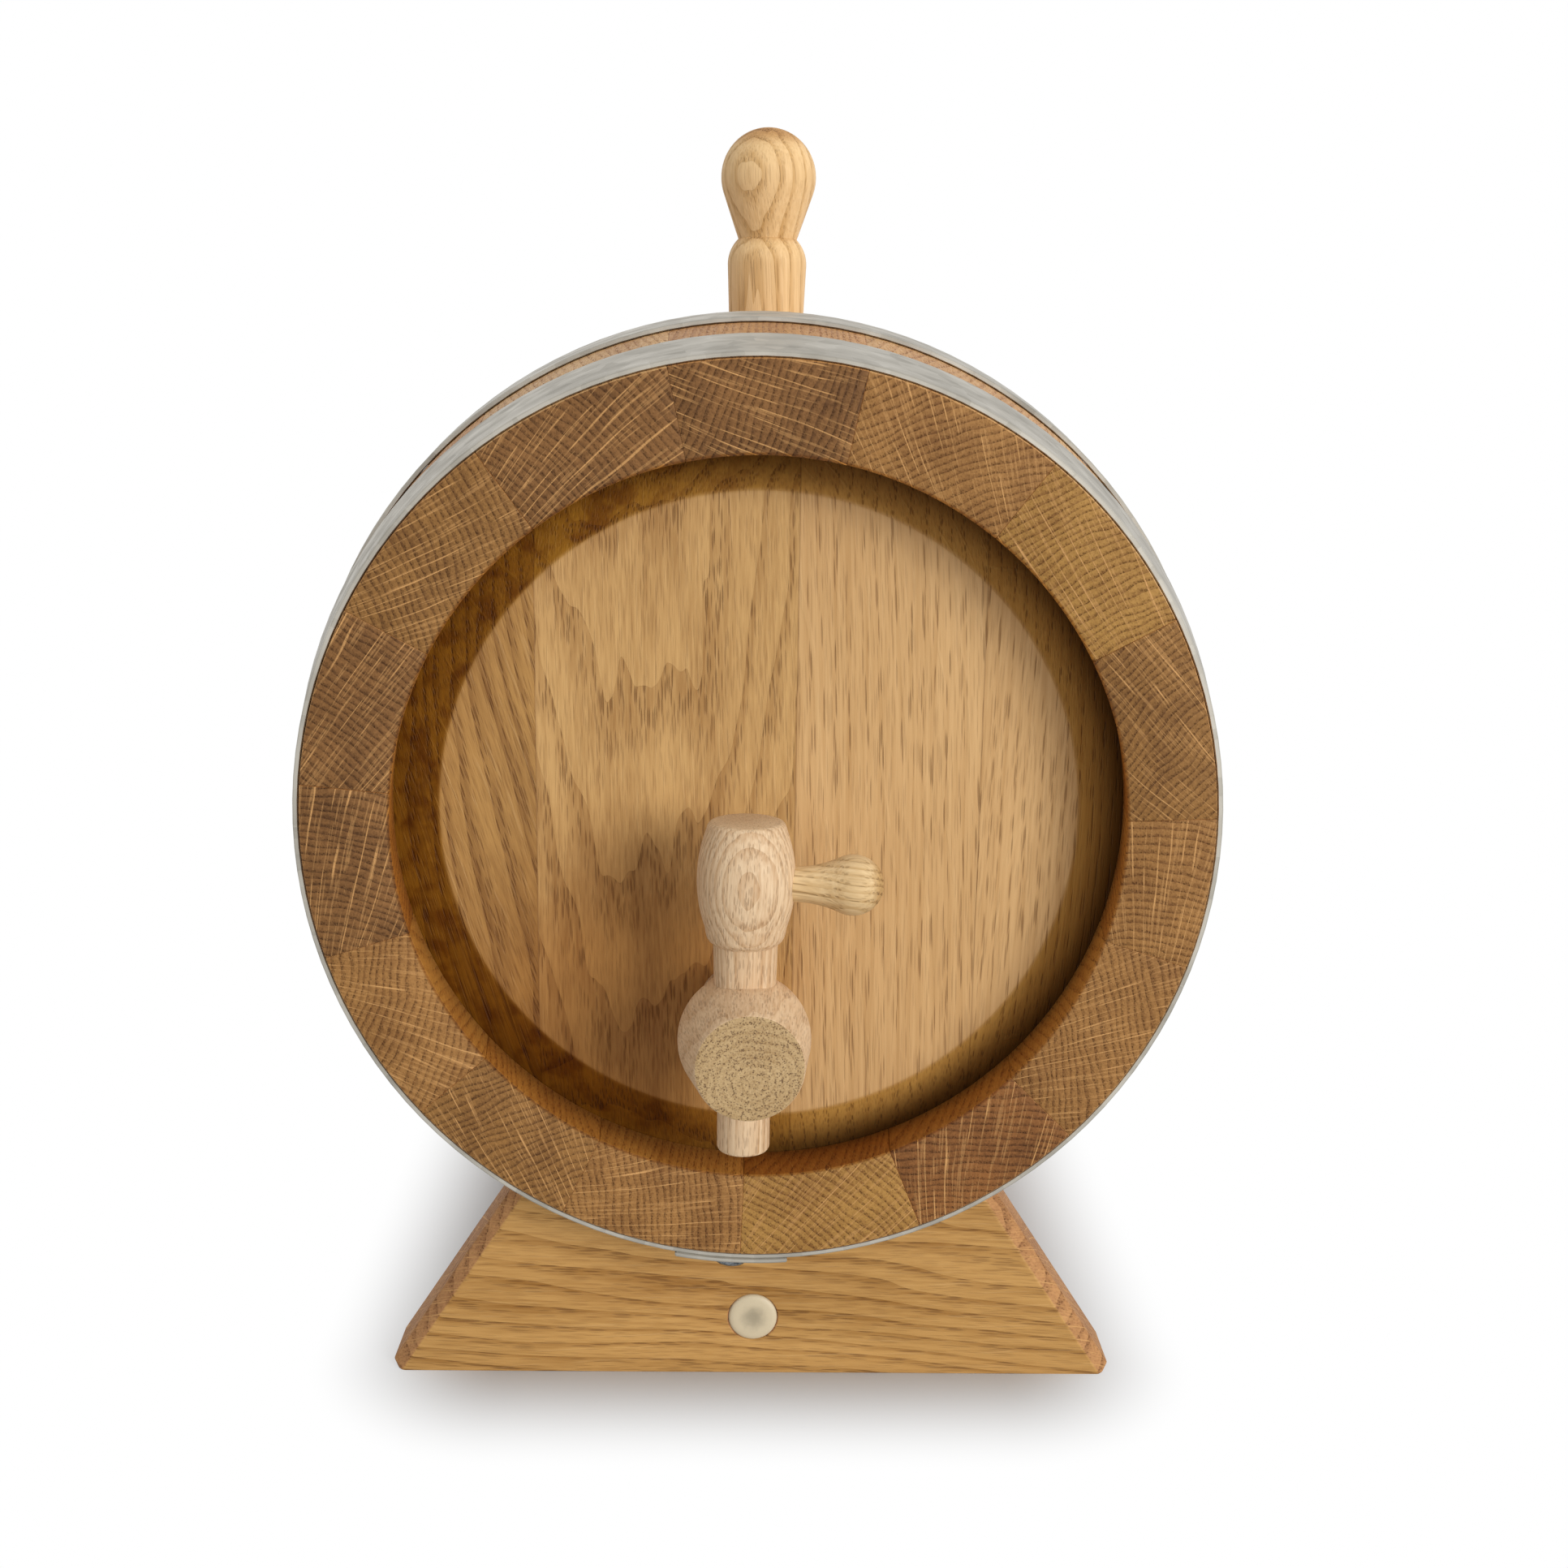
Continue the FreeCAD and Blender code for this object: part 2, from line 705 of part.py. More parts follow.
def make_tap_body():
    """The turned tap: a disc in front, a bulb round the key, a collar and a shank driven into the head."""
    body = new_body("tap_body", tap_place)
    bulb = size["tap_bulb_radius"]
    collar, collar_end = size["tap_collar_radius"], size["tap_collar_reach"] + size["tap_collar_bevel"]
    tail = head_face + size["tap_shank_reach"]
    section = outline(
        body, "YZ_Plane", "section",
        (-boss_reach, ZERO),
        (-boss_reach, disc_radius),
        (-bulb * sine(boss_slope), bulb * cosine(boss_slope)),
        ((ZERO, bulb), (root(bulb * bulb - collar * collar), collar)),
        (size["tap_collar_reach"], collar),
        (collar_end, tap_shank_radius(collar_end)),
        (tail, tap_shank_radius(tail)),
        (tail, ZERO),
    )
    revolve(body, section, "H_Axis")
    above = bulb * 1.1
    key_hole = outline(
        body, "YZ_Plane", "key_hole",
        (ZERO, -above),
        (key_plug_radius(-above) + size["key_clearance"], -above),
        (key_plug_radius(above) + size["key_clearance"], above),
        (ZERO, above),
    )
    groove(body, key_hole, "V_Axis")
    pocket(body, circle(body, "XZ_Plane", "bore", (ZERO, ZERO), size["tap_bore_radius"]))


def tap_hole_tool():
    """The tapered hole in the front head that the tap's shank is driven into."""
    start, stop = head_face - size["head_recess"] / 4, head_face + size["head_thickness"] * 1.5
    tool = doc.addObject("Part::Cone", "tap_hole")
    bind(tool, "Radius1", tap_shank_radius(start) + size["tap_seat_clearance"])
    bind(tool, "Radius2", tap_shank_radius(stop) + size["tap_seat_clearance"])
    bind(tool, "Height", stop - start)
    along = Placement(Vector(0, start.value, 0), Rotation(X_DIRECTION, -QUARTER_TURN))
    tool.Placement = tap_place.multiply(along)
    return tool


def make_key():
    """The turned key: a barrel handle, a neck, a tapered plug and a hollow spout with a side port."""
    body = new_body("tap_key", key_place)
    top, foot = size["key_handle_top"], size["key_handle_foot"]
    top_radius, top_bevel = size["key_handle_top_radius"], size["key_top_bevel"]
    foot_radius, foot_bevel = size["key_handle_foot_radius"], size["key_foot_bevel"]
    belly = (top + foot) / 2
    plug_top, plug_foot = size["tap_bulb_radius"], -size["tap_bulb_radius"]
    spout = size["key_plug_foot_radius"]
    edge = size["spout_edge_round"]
    section = outline(
        body, "XZ_Plane", "section",
        (ZERO, -size["spout_reach"]),
        (spout - edge, -size["spout_reach"]),
        (spout, edge - size["spout_reach"]),
        (spout, plug_foot),
        (key_plug_radius(plug_top), plug_top),
        (size["key_neck_radius"], foot),
        (foot_radius, foot + foot_bevel),
        ((size["key_handle_radius"], belly), (top_radius, top - top_bevel)),
        (top_radius - top_bevel, top),
        (ZERO, top),
    )
    revolve(body, section, "V_Axis")
    pocket(body, circle(body, "XY_Plane", "spout_bore", (ZERO, ZERO), size["tap_bore_radius"]))
    pocket(body, circle(body, "YZ_Plane", "port", (ZERO, ZERO), size["tap_bore_radius"]))
    socket = circle(
        body, "YZ_Plane", "lever_socket",
        (ZERO, size["lever_height"]), size["lever_tenon_radius"] + size["lever_clearance"],
    )
    socket.AttachmentOffset = Placement(Vector(0, 0, tenon_end.value), Rotation())
    socket.setExpression("AttachmentOffset.Base.z", tenon_end.text)
    pocket(body, socket, towards_normal=True)


tenon_start = size["key_handle_radius"] - size["lever_shoulder_sink"]
tenon_end = tenon_start - size["lever_tenon_length"] - size["lever_clearance"]


def make_lever():
    """The lever peg: a tenon in the key's handle, and a neck that flares smoothly into a round bulb."""
    raised = Placement(Vector(0, 0, size["lever_height"].value), Rotation())
    body = new_body("lever_peg", key_place.multiply(raised))
    tenon, neck, bulb = size["lever_tenon_radius"], size["lever_neck_radius"], size["lever_bulb_radius"]
    start, middle = size["key_handle_radius"], size["lever_bulb_reach"]
    run = middle - start
    flare = (run * run + neck * neck - bulb * bulb) / ((bulb - neck) * 2)  # tangent to the neck and the bulb
    share = bulb / (flare + bulb)
    half_run = (run - run * share) / 2
    section = outline(
        body, "XZ_Plane", "section",
        (tenon_start - size["lever_tenon_length"], ZERO),
        (tenon_start - size["lever_tenon_length"], tenon),
        (start, tenon),
        (start, neck),
        (
            (start + half_run, neck + flare - root(flare * flare - half_run * half_run)),
            (middle - run * share, (neck + flare) * share),
        ),
        ((middle, bulb), (middle + bulb, ZERO)),
    )
    revolve(body, section, "H_Axis")


# ---- Cradle ----

screw_recess = size["cap_thickness"] + size["cap_screw_gap"]
seat_radius = outside_radius(size["cradle_inset"] + size["cradle_thickness"]) + size["cradle_seat_clearance"]
rail_length = size["cask_length"] - (size["cradle_inset"] + size["cradle_thickness"]) * 2
FRONT_BOARD = Placement(Vector(0, (front_plane + size["cradle_inset"]).value, 0), Rotation())
REAR_BOARD = Placement(
    Vector(0, (front_plane + size["cask_length"] - size["cradle_inset"]).value, 0), Rotation(Z_DIRECTION, 180)
)


def make_cradle_board(name, place, tools):
    """One board of the cradle: sloped ends with a wide bevel in front, and a round seat for the cask."""
    body = new_body(f"{name}_blank", place, is_node=False)
    foot, clip = size["cradle_foot_half_width"], size["cradle_foot_clip"]
    tip_height = axis_height - seat_radius * cosine(size["cradle_wrap"])
    tip = seat_radius * sine(size["cradle_wrap"]) + size["cradle_tip_flat"]
    shape = outline(
        body, "XZ_Plane", "shape",
        (clip - foot, ZERO),
        (foot - clip, ZERO),
        (foot, clip),
        (tip, tip_height),
        (-tip, tip_height),
        (-foot, clip),
    )
    pad(body, shape, size["cradle_thickness"], towards_normal=False)

    def is_front_slope(edge):
        ends = [vertex.Point for vertex in edge.Vertexes]
        in_front = all(abs(end.y) < 1e-6 for end in ends)
        rise = abs(ends[0].z - ends[-1].z)
        return in_front and rise > tip_height.value / 2

    bevel(body, size["cradle_bevel"], is_front_slope)
    pocket(body, circle(body, "XZ_Plane", "seat", (ZERO, axis_height), seat_radius))
    screw_line, gap = (ZERO, size["screw_height"]), size["screw_clearance"]
    pocket(body, circle(body, "XZ_Plane", "screw", screw_line, size["screw_shoulder_radius"] + gap))
    for mark, radius, depth in (
        ("head", size["screw_head_radius"] + gap, screw_recess + size["screw_head_length"]),
        ("cap", size["cap_radius"] + size["cap_clearance"], screw_recess),
    ):
        bore = circle(body, "XZ_Plane", mark, screw_line, radius)
        cut = cut_feature(body, "Pocket", bore, Type="Length", Length=depth.value)
        bind(cut, "Length", depth)
    drilled(name, body, tools)


def make_rail(tools):
    """The rail that spaces the two boards."""
    body = new_body("spreader_rail_blank", FRONT_BOARD, is_node=False)
    half_width = size["rail_width"] / 2
    section = outline(
        body, "XZ_Plane", "section",
        (-half_width, rail_bottom),
        (half_width, rail_bottom),
        (half_width, rail_top),
        (-half_width, rail_top),
    )
    section.AttachmentOffset = Placement(Vector(0, 0, -size["cradle_thickness"].value), Rotation())
    section.setExpression("AttachmentOffset.Base.z", (-size["cradle_thickness"]).text)
    pad(body, section, rail_length, towards_normal=False)

    def is_long(edge):
        ends = [vertex.Point for vertex in edge.Vertexes]
        return abs(ends[0].y - ends[-1].y) > rail_length.value / 2

    bevel(body, size["rail_edge_bevel"], is_long)
    drilled("spreader_rail", body, tools)


def make_screw(name, place):
    """A cap-hidden assembly screw with a round head, a plain shoulder and its core."""
    body = new_body(name, place, is_node=False)
    head_back_face = screw_recess + size["screw_head_length"]
    section = outline(
        body, "YZ_Plane", "section",
        (screw_recess, ZERO),
        (screw_recess, size["screw_head_radius"]),
        (head_back_face, size["screw_head_radius"]),
        (head_back_face, size["screw_shoulder_radius"]),
        (size["cradle_thickness"], size["screw_shoulder_radius"]),
        (size["cradle_thickness"], size["screw_core_radius"]),
        (size["screw_length"] - size["screw_core_radius"], size["screw_core_radius"]),
        (size["screw_length"], ZERO),
    )
    revolve(body, section, "H_Axis")
    socket = circle(body, "XZ_Plane", "socket", (ZERO, ZERO), size["screw_socket_radius"])
    depth = screw_recess + size["screw_socket_depth"]
    cut = cut_feature(body, "Pocket", socket, Type="Length", Length=depth.value)
    bind(cut, "Length", depth)
    return body


def make_cap(name, place):
    """A round cover cap with a bevelled rim that stands just proud, and a dimple in the middle."""
    body = new_body(name, place)
    radius, rim = size["cap_radius"], size["cap_bevel"]
    section = outline(
        body, "YZ_Plane", "section",
        (size["cap_dimple_depth"] - rim, ZERO),
        (-rim, size["cap_dimple_radius"]),
        (-rim, radius - rim),
        (ZERO, radius),
        (size["cap_thickness"], radius),
        (size["cap_thickness"], ZERO),
    )
    revolve(body, section, "H_Axis")


def make_cradle():
    dowels, dowel_holes, pilots, screws = [], [], [], []
    along = Placement(Vector(), Rotation(Z_DIRECTION, QUARTER_TURN))
    for side, board in (("front", FRONT_BOARD), ("rear", REAR_BOARD)):
        height = size["screw_height"].value
        joint = board.multiply(Placement(Vector(0, size["cradle_thickness"].value, height), Rotation()))
        for mark, offset in (("left", -size["rail_dowel_spread"]), ("right", size["rail_dowel_spread"])):
            place = joint.multiply(Placement(Vector(offset.value, 0, 0), Rotation())).multiply(along)
            name = f"rail_dowel_{side}_{mark}"
            dowels.append(rod(name, place, size["rail_dowel_radius"], size["rail_dowel_length"]))
            radius = size["rail_dowel_radius"] + size["dowel_clearance"]
            length = size["rail_dowel_length"] + size["dowel_end_gap"] * 2
            dowel_holes.append(rod(f"{name}_hole", place, radius, length))
        screw_place = board.multiply(Placement(Vector(0, 0, height), Rotation()))
        screws.append(make_screw(f"{side}_screw", screw_place))
        pilot_end = size["screw_length"] + size["screw_tip_gap"]
        pilot_start = size["cradle_thickness"]
        middle = (pilot_start + pilot_end) / 2
        pilot_place = board.multiply(Placement(Vector(0, middle.value, height), Rotation())).multiply(along)
        pilot_radius = size["screw_core_radius"] + size["dowel_clearance"]
        pilots.append(rod(f"{side}_pilot", pilot_place, pilot_radius, pilot_end - pilot_start))
        make_cap(f"{side}_cover_cap", screw_place)
    board_tools = group("rail_dowel_holes", dowel_holes, is_node=False)
    rail_tools = group("rail_holes", dowel_holes + pilots, is_node=False)
    make_cradle_board("front_cradle_board", FRONT_BOARD, board_tools)
    make_cradle_board("rear_cradle_board", REAR_BOARD, board_tools)
    make_rail(rail_tools)
    group("stand_screws", screws)
    group("rail_dowels", dowels)


def write_parts():
    """Check every object, then write each node to its own file."""
    doc.recompute()
    for item in doc.Objects:
        if "Invalid" in item.State or "Error" in item.State:
            raise RuntimeError(f"{item.Name} failed: {item.State}")
    os.makedirs("parts", exist_ok=True)
    for node in nodes:
        if node.Shape.isNull() or not node.Shape.isValid():
            raise RuntimeError(f"{node.Label} has no valid shape")
        node.Shape.exportStep(f"parts/{node.Label}.step")
        print(f"{node.Label}: {len(node.Shape.Solids)} solid(s), {node.Shape.Volume:.0f} mm3")


make_staves()
make_head("front", FRONT_END, [tap_hole_tool()])
make_head("rear", REAR_END, [])
for hoop_side, hoop_end in (("front", FRONT_END), ("rear", REAR_END)):
    make_hoop(f"{hoop_side}_chime_hoop", hoop_end, size["chime_hoop_inset"])
    make_hoop(f"{hoop_side}_quarter_hoop", hoop_end, size["quarter_hoop_inset"])
make_bung()
make_tap_body()
make_key()
make_lever()
make_cradle()
write_parts()
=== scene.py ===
import math

import bpy
from mathutils import Euler, Matrix, Vector


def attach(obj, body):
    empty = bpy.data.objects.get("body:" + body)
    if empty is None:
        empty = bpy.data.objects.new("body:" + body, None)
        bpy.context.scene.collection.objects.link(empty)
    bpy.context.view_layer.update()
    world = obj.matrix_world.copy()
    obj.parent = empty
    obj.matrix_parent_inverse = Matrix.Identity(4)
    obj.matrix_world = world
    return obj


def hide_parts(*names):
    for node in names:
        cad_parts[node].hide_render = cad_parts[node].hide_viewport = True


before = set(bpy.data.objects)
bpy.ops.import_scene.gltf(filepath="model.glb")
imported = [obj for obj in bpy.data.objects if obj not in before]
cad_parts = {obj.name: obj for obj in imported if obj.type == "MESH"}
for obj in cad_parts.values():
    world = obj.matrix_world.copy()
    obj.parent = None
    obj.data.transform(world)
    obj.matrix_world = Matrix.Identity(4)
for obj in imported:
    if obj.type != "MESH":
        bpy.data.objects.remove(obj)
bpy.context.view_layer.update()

# Sizes are in millimetres and angles in degrees, until they meet Blender.
MM = 0.001
FULL_TURN = 360

CASK_LENGTH, CHIME_RADIUS, BILGE_RADIUS = 260, 100, 115
INSIDE_RADIUS = 95  # inside of the staves, half way along the cask
AXIS_HEIGHT = 144.9
FRONT_FACE = -115.963  # where the cask starts along Y
MIDDLE = FRONT_FACE + CASK_LENGTH / 2
CASK_MIDDLE = (0, MIDDLE, AXIS_HEIGHT)
BUNG_LEAN = 0.3  # how far the bung is turned from upright
STAVE_WIDTHS = (24.1, 25.2, 24.4, 26.0, 19.7, 27.0, 23.1, 24.1, 24.1, 22.8, 23.7, 22.6, 22.7, 25.2, 25.3)
TAP_AXIS = Vector((-2.8, -124.963, 100.2))  # where the key crosses the tap
TAP_TURN = 4  # how far the tap's front is turned to the right
LEVER_FOOT = TAP_AXIS + Vector((0, 0, 35))
SCREW_HEIGHT = 15
BUNG_TAPER = math.tan(math.radians(2.2))
BUNG_HOLE_RADIUS = 10.3  # at the outside of the stave
MOUTH_RADIUS = 80.4  # inside of the chime, at the end face
CHIME_FLARE = 0.156  # how fast the chime's inner wall opens out
HOOP_WIDTH, HOOP_THICKNESS, HOOP_GAP = 22, 1.2, 0.15
CHIME_HOOP_INSET, QUARTER_HOOP_INSET = 1, 54
LAP_ANGLE, LAP_PLACE = 14.5, 183  # how much of the ring a lap covers, and where its middle is
BOARD_INSET, BOARD_THICKNESS = 26, 18
SEAT_RADIUS = 108.79
ROUNDED_FROM, SMOOTH_UP_TO = 28, 32  # the angle of an edge that is rounded, and shaded smooth

ALONG_X, ALONG_Y, ALONG_Z = (1, 0, 0), (0, 1, 0), (0, 0, 1)


# ---- Shaping ----


def draw(*points):
    """Start a piece as a point, and draw it on as a line from corner to corner."""
    bpy.ops.object.select_all(action="DESELECT")
    bpy.ops.mesh.primitive_plane_add(size=MM, location=Vector(points[0]) * MM)
    bpy.ops.object.mode_set(mode="EDIT")
    bpy.ops.mesh.merge(type="CENTER")
    for before, after in zip(points, points[1:]):
        step = (Vector(after) - Vector(before)) * MM
        bpy.ops.mesh.extrude_region_move(TRANSFORM_OT_translate={"value": step})
    bpy.ops.mesh.select_all(action="SELECT")


def draw_face(*points):
    """Draw a line from corner to corner, and fill it in."""
    draw(*points)
    bpy.ops.mesh.edge_face_add()


def tidy_skin():
    """Join the points that meet, and turn every face outwards."""
    bpy.ops.mesh.select_all(action="SELECT")
    bpy.ops.mesh.remove_doubles(threshold=0.001 * MM)
    bpy.ops.mesh.normals_make_consistent(inside=False)


def turn(centre, axis, steps, angle=FULL_TURN):
    """Turn the drawn line or face about an axis, as on a lathe."""
    bpy.ops.mesh.spin(
        steps=steps, angle=math.radians(angle), center=Vector(centre) * MM, axis=axis,
        use_auto_merge=angle == FULL_TURN,
    )
    tidy_skin()


def settle(name):
    """Leave edit mode with the piece's place in its mesh."""
    bpy.ops.object.mode_set(mode="OBJECT")
    bpy.ops.object.transform_apply(location=True, rotation=True, scale=True)
    piece = bpy.context.object
    piece.name = piece.data.name = name
    return piece


def pick(piece):
    bpy.ops.object.select_all(action="DESELECT")
    piece.select_set(True)
    bpy.context.view_layer.objects.active = piece


def soften(piece, width, segments=2):
    """Round the sharp edges a little."""
    pick(piece)
    bpy.ops.object.modifier_add(type="BEVEL")
    rounding = piece.modifiers[-1]
    rounding.width = width * MM
    rounding.segments = segments
    rounding.limit_method = "ANGLE"
    rounding.angle_limit = math.radians(ROUNDED_FROM)
    bpy.ops.object.modifier_apply(modifier=rounding.name)


def cut(piece, *cutters):
    """Take each cutter's shape out of the piece."""
    for cutter in cutters:
        pick(piece)
        bpy.ops.object.modifier_add(type="BOOLEAN")
        hole = piece.modifiers[-1]
        hole.operation = "DIFFERENCE"
        hole.object = cutter
        bpy.ops.object.modifier_apply(modifier=hole.name)
        bpy.data.objects.remove(cutter)


def moved(piece, matrix):
    """The piece at its new place, which is kept in its mesh."""
    pick(piece)
    piece.matrix_world = matrix
    bpy.ops.object.transform_apply(location=True, rotation=True, scale=True)
    return piece


def copied(piece, name, matrix):
    """A copy of a piece with its own mesh, moved to its place."""
    pick(piece)
    bpy.ops.object.duplicate()
    copy = bpy.context.object
    copy.name = copy.data.name = name
    return moved(copy, matrix)


def turned_about(centre, axis, angle):
    """A turn about an axis through a centre."""
    centre = Vector(centre) * MM
    turned = Matrix.Rotation(math.radians(angle), 4, axis)
    return Matrix.Translation(centre) @ turned @ Matrix.Translation(-centre)


def joined(piece, *others):
    pick(piece)
    for other in others:
        other.select_set(True)
    bpy.ops.object.join()
    return piece


def hang(piece, body, finish, slot, *nodes):
    """Give a piece its finish, and put it on its body in place of its CAD nodes."""
    pick(piece)
    bpy.ops.object.shade_smooth_by_angle(angle=math.radians(SMOOTH_UP_TO))
    piece.data.materials.clear()
    piece.data.materials.append(finish)
    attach(piece, body)
    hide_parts(*nodes)


def arc(centre, radius, start, stop, count):
    """Points round an arc, as pairs, with the angles counted from the first direction to the second."""
    points = []
    for number in range(count + 1):
        angle = math.radians(start + (stop - start) * number / count)
        points.append((centre[0] + radius * math.cos(angle), centre[1] + radius * math.sin(angle)))
    return points


def swapped(pairs):
    """The same pairs, each the other way round."""
    return [(second, first) for first, second in pairs]


def lathe(name, foot, axis, profile, sides=72):
    """A turned piece. Its profile is in pairs: how far out, and how far along the axis from its foot."""
    foot = Vector(foot)
    along = Vector(axis)
    out = Vector(ALONG_Z) if axis != ALONG_Z else Vector(ALONG_X)
    draw(*[foot + out * radius + along * height for radius, height in profile])
    turn(foot, axis, sides)
    return settle(name)


# ---- Finishes ----


def paint(code):
    """A colour written as it looks on the piece."""
    shades = [int(code[start:start + 2], 16) / 255 for start in (0, 2, 4)]
    return (*[((shade + 0.055) / 1.055) ** 2.4 if shade > 0.04 else shade / 12.92 for shade in shades], 1)


class Mixer:
    """Short names for the nodes that a material or the sky is mixed from."""

    def __init__(self, owner):
        owner.use_nodes = True
        self.nodes, self.links = owner.node_tree.nodes, owner.node_tree.links

    def feed(self, socket, value):
        if isinstance(value, bpy.types.NodeSocket):
            self.links.new(value, socket)
        else:
            socket.default_value = value

    def add(self, kind, inputs, output=0, **settings):
        node = self.nodes.new(f"ShaderNode{kind}")
        for name, value in settings.items():
            setattr(node, name, value)
        for key, value in inputs.items():
            self.feed(node.inputs[key], value)
        return node.outputs[output]

    def calc(self, operation, *values):
        return self.add("Math", dict(enumerate(values)), operation=operation)

    def total(self, *parts):
        """The sum of (value, weight) pairs."""
        result = 0.0
        for value, weight in parts:
            result = self.calc("MULTIPLY_ADD", value, weight, result)
        return result

    def clamped(self, *parts):
        return self.calc("MINIMUM", self.calc("MAXIMUM", self.total(*parts), 0.0), 1.0)

    def seen(self):
        """One where it is seen, straight or mirrored, and nothing where it only lights the cask."""
        result = 0.0
        for ray in ("Is Camera Ray", "Is Glossy Ray", "Is Transmission Ray"):
            result = self.calc("MAXIMUM", self.add("LightPath", {}, ray), result)
        return result


class Finish(Mixer):
    """A finish in the making: a material whose shader is fed from a mix of nodes."""

    def __init__(self, name):
        self.material = bpy.data.materials.new(name)
        super().__init__(self.material)
        self.shader = self.nodes["Principled BSDF"]

    def reach(self, x, y):
        """How far out a place is, from its two distances."""
        return self.calc("SQRT", self.calc("MULTIPLY_ADD", x, x, self.calc("MULTIPLY", y, y)))

    def tinted(self, share, colour, code):
        """The colour with a tint multiplied into it, for stains and for painted shade."""
        inputs = {0: share, 6: colour, 7: paint(code)}
        return self.add("Mix", inputs, 2, data_type="RGBA", blend_type="MULTIPLY")

    def fade(self, value, start, stop):
        """From nothing at the start value to all at the stop value, smoothly."""
        inputs = {"Value": value, "From Min": start, "From Max": stop}
        return self.add("MapRange", inputs, interpolation_type="SMOOTHSTEP")

    def blend(self, share, first, second):
        return self.add("Mix", {0: share, 6: first, 7: second}, 2, data_type="RGBA")

    def spread(self, place, out, around, along):
        """A place measured in steps of the given lengths, so that a pattern is that long each way."""
        inputs = (self.calc("DIVIDE", part, length) for part, length in zip(place, (out, around, along)))
        return self.add("CombineXYZ", dict(enumerate(inputs)))

    def noise(self, place, out, around, along, detail=2.0):
        inputs = {"Vector": self.spread(place, out, around, along), "Scale": 1.0, "Detail": detail}
        return self.add("TexNoise", inputs)

    def cells(self, place, out, around, along, output="Distance"):
        inputs = {"Vector": self.spread(place, out, around, along), "Scale": 1.0}
        return self.add("TexVoronoi", inputs, output)

    def split(self, vector):
        node = self.nodes.new("ShaderNodeSeparateXYZ")
        self.links.new(vector, node.inputs[0])
        return tuple(node.outputs)

    def measured(self, centre, lean=(0, 0, 0)):
        """Millimetres from a centre, along axes leant over by three angles."""
        where = self.add("TexCoord", {}, "Object")
        rotation = [math.radians(angle) for angle in lean]
        inputs = {
            "Vector": where, "Location": Vector(centre) * MM, "Rotation": rotation, "Scale": (MM, MM, MM),
        }
        return self.add("Mapping", inputs, vector_type="TEXTURE")

    def timber(self, pith, lean, reach, sway):
        """A place from the pith: out, around the ring and along the grain; and the same place squarely."""
        straight = self.measured(pith, lean)
        slow = self.add("VectorMath", {0: straight, 1: (1 / 60, 1 / 60, 1 / 170)}, operation="MULTIPLY")
        drift = self.add("TexNoise", {"Vector": slow, "Scale": 1.0, "Detail": 1.0}, "Color")
        drift = self.add("VectorMath", {0: drift, 1: (0.5, 0.5, 0.5)}, operation="SUBTRACT")
        drift = self.add("VectorMath", {0: drift, 1: (sway, sway, 0)}, operation="MULTIPLY")
        x, y, z = self.split(self.add("VectorMath", {0: straight, 1: drift}, operation="ADD"))
        around = self.calc("MULTIPLY", self.calc("ARCTAN2", y, x), reach)
        return (self.reach(x, y), around, z), (x, y, z)

    def facing(self, axis):
        """How squarely the surface faces along an axis of the piece."""
        normal = self.add("TexCoord", {}, "Normal")
        return self.calc("ABSOLUTE", self.split(normal)[axis])

    def relief(self, height, depth):
        inputs = {"Strength": 1.0, "Distance": depth * MM, "Height": height}
        self.links.new(self.add("Bump", inputs), self.shader.inputs["Normal"])

    def done(self, colour, roughness, metallic=0.0, gloss=0.5):
        self.feed(self.shader.inputs["Base Color"], colour)
        self.feed(self.shader.inputs["Roughness"], roughness)
        self.shader.inputs["Metallic"].default_value = metallic
        self.shader.inputs["Specular IOR Level"].default_value = gloss
        return self.material


# How the log is turned for its grain to run along an axis, and the number of that axis.
GRAIN = {"X": ((0, 90, 0), 0), "Y": ((90, 0, 0), 1), "Z": ((0, 0, 0), 2)}


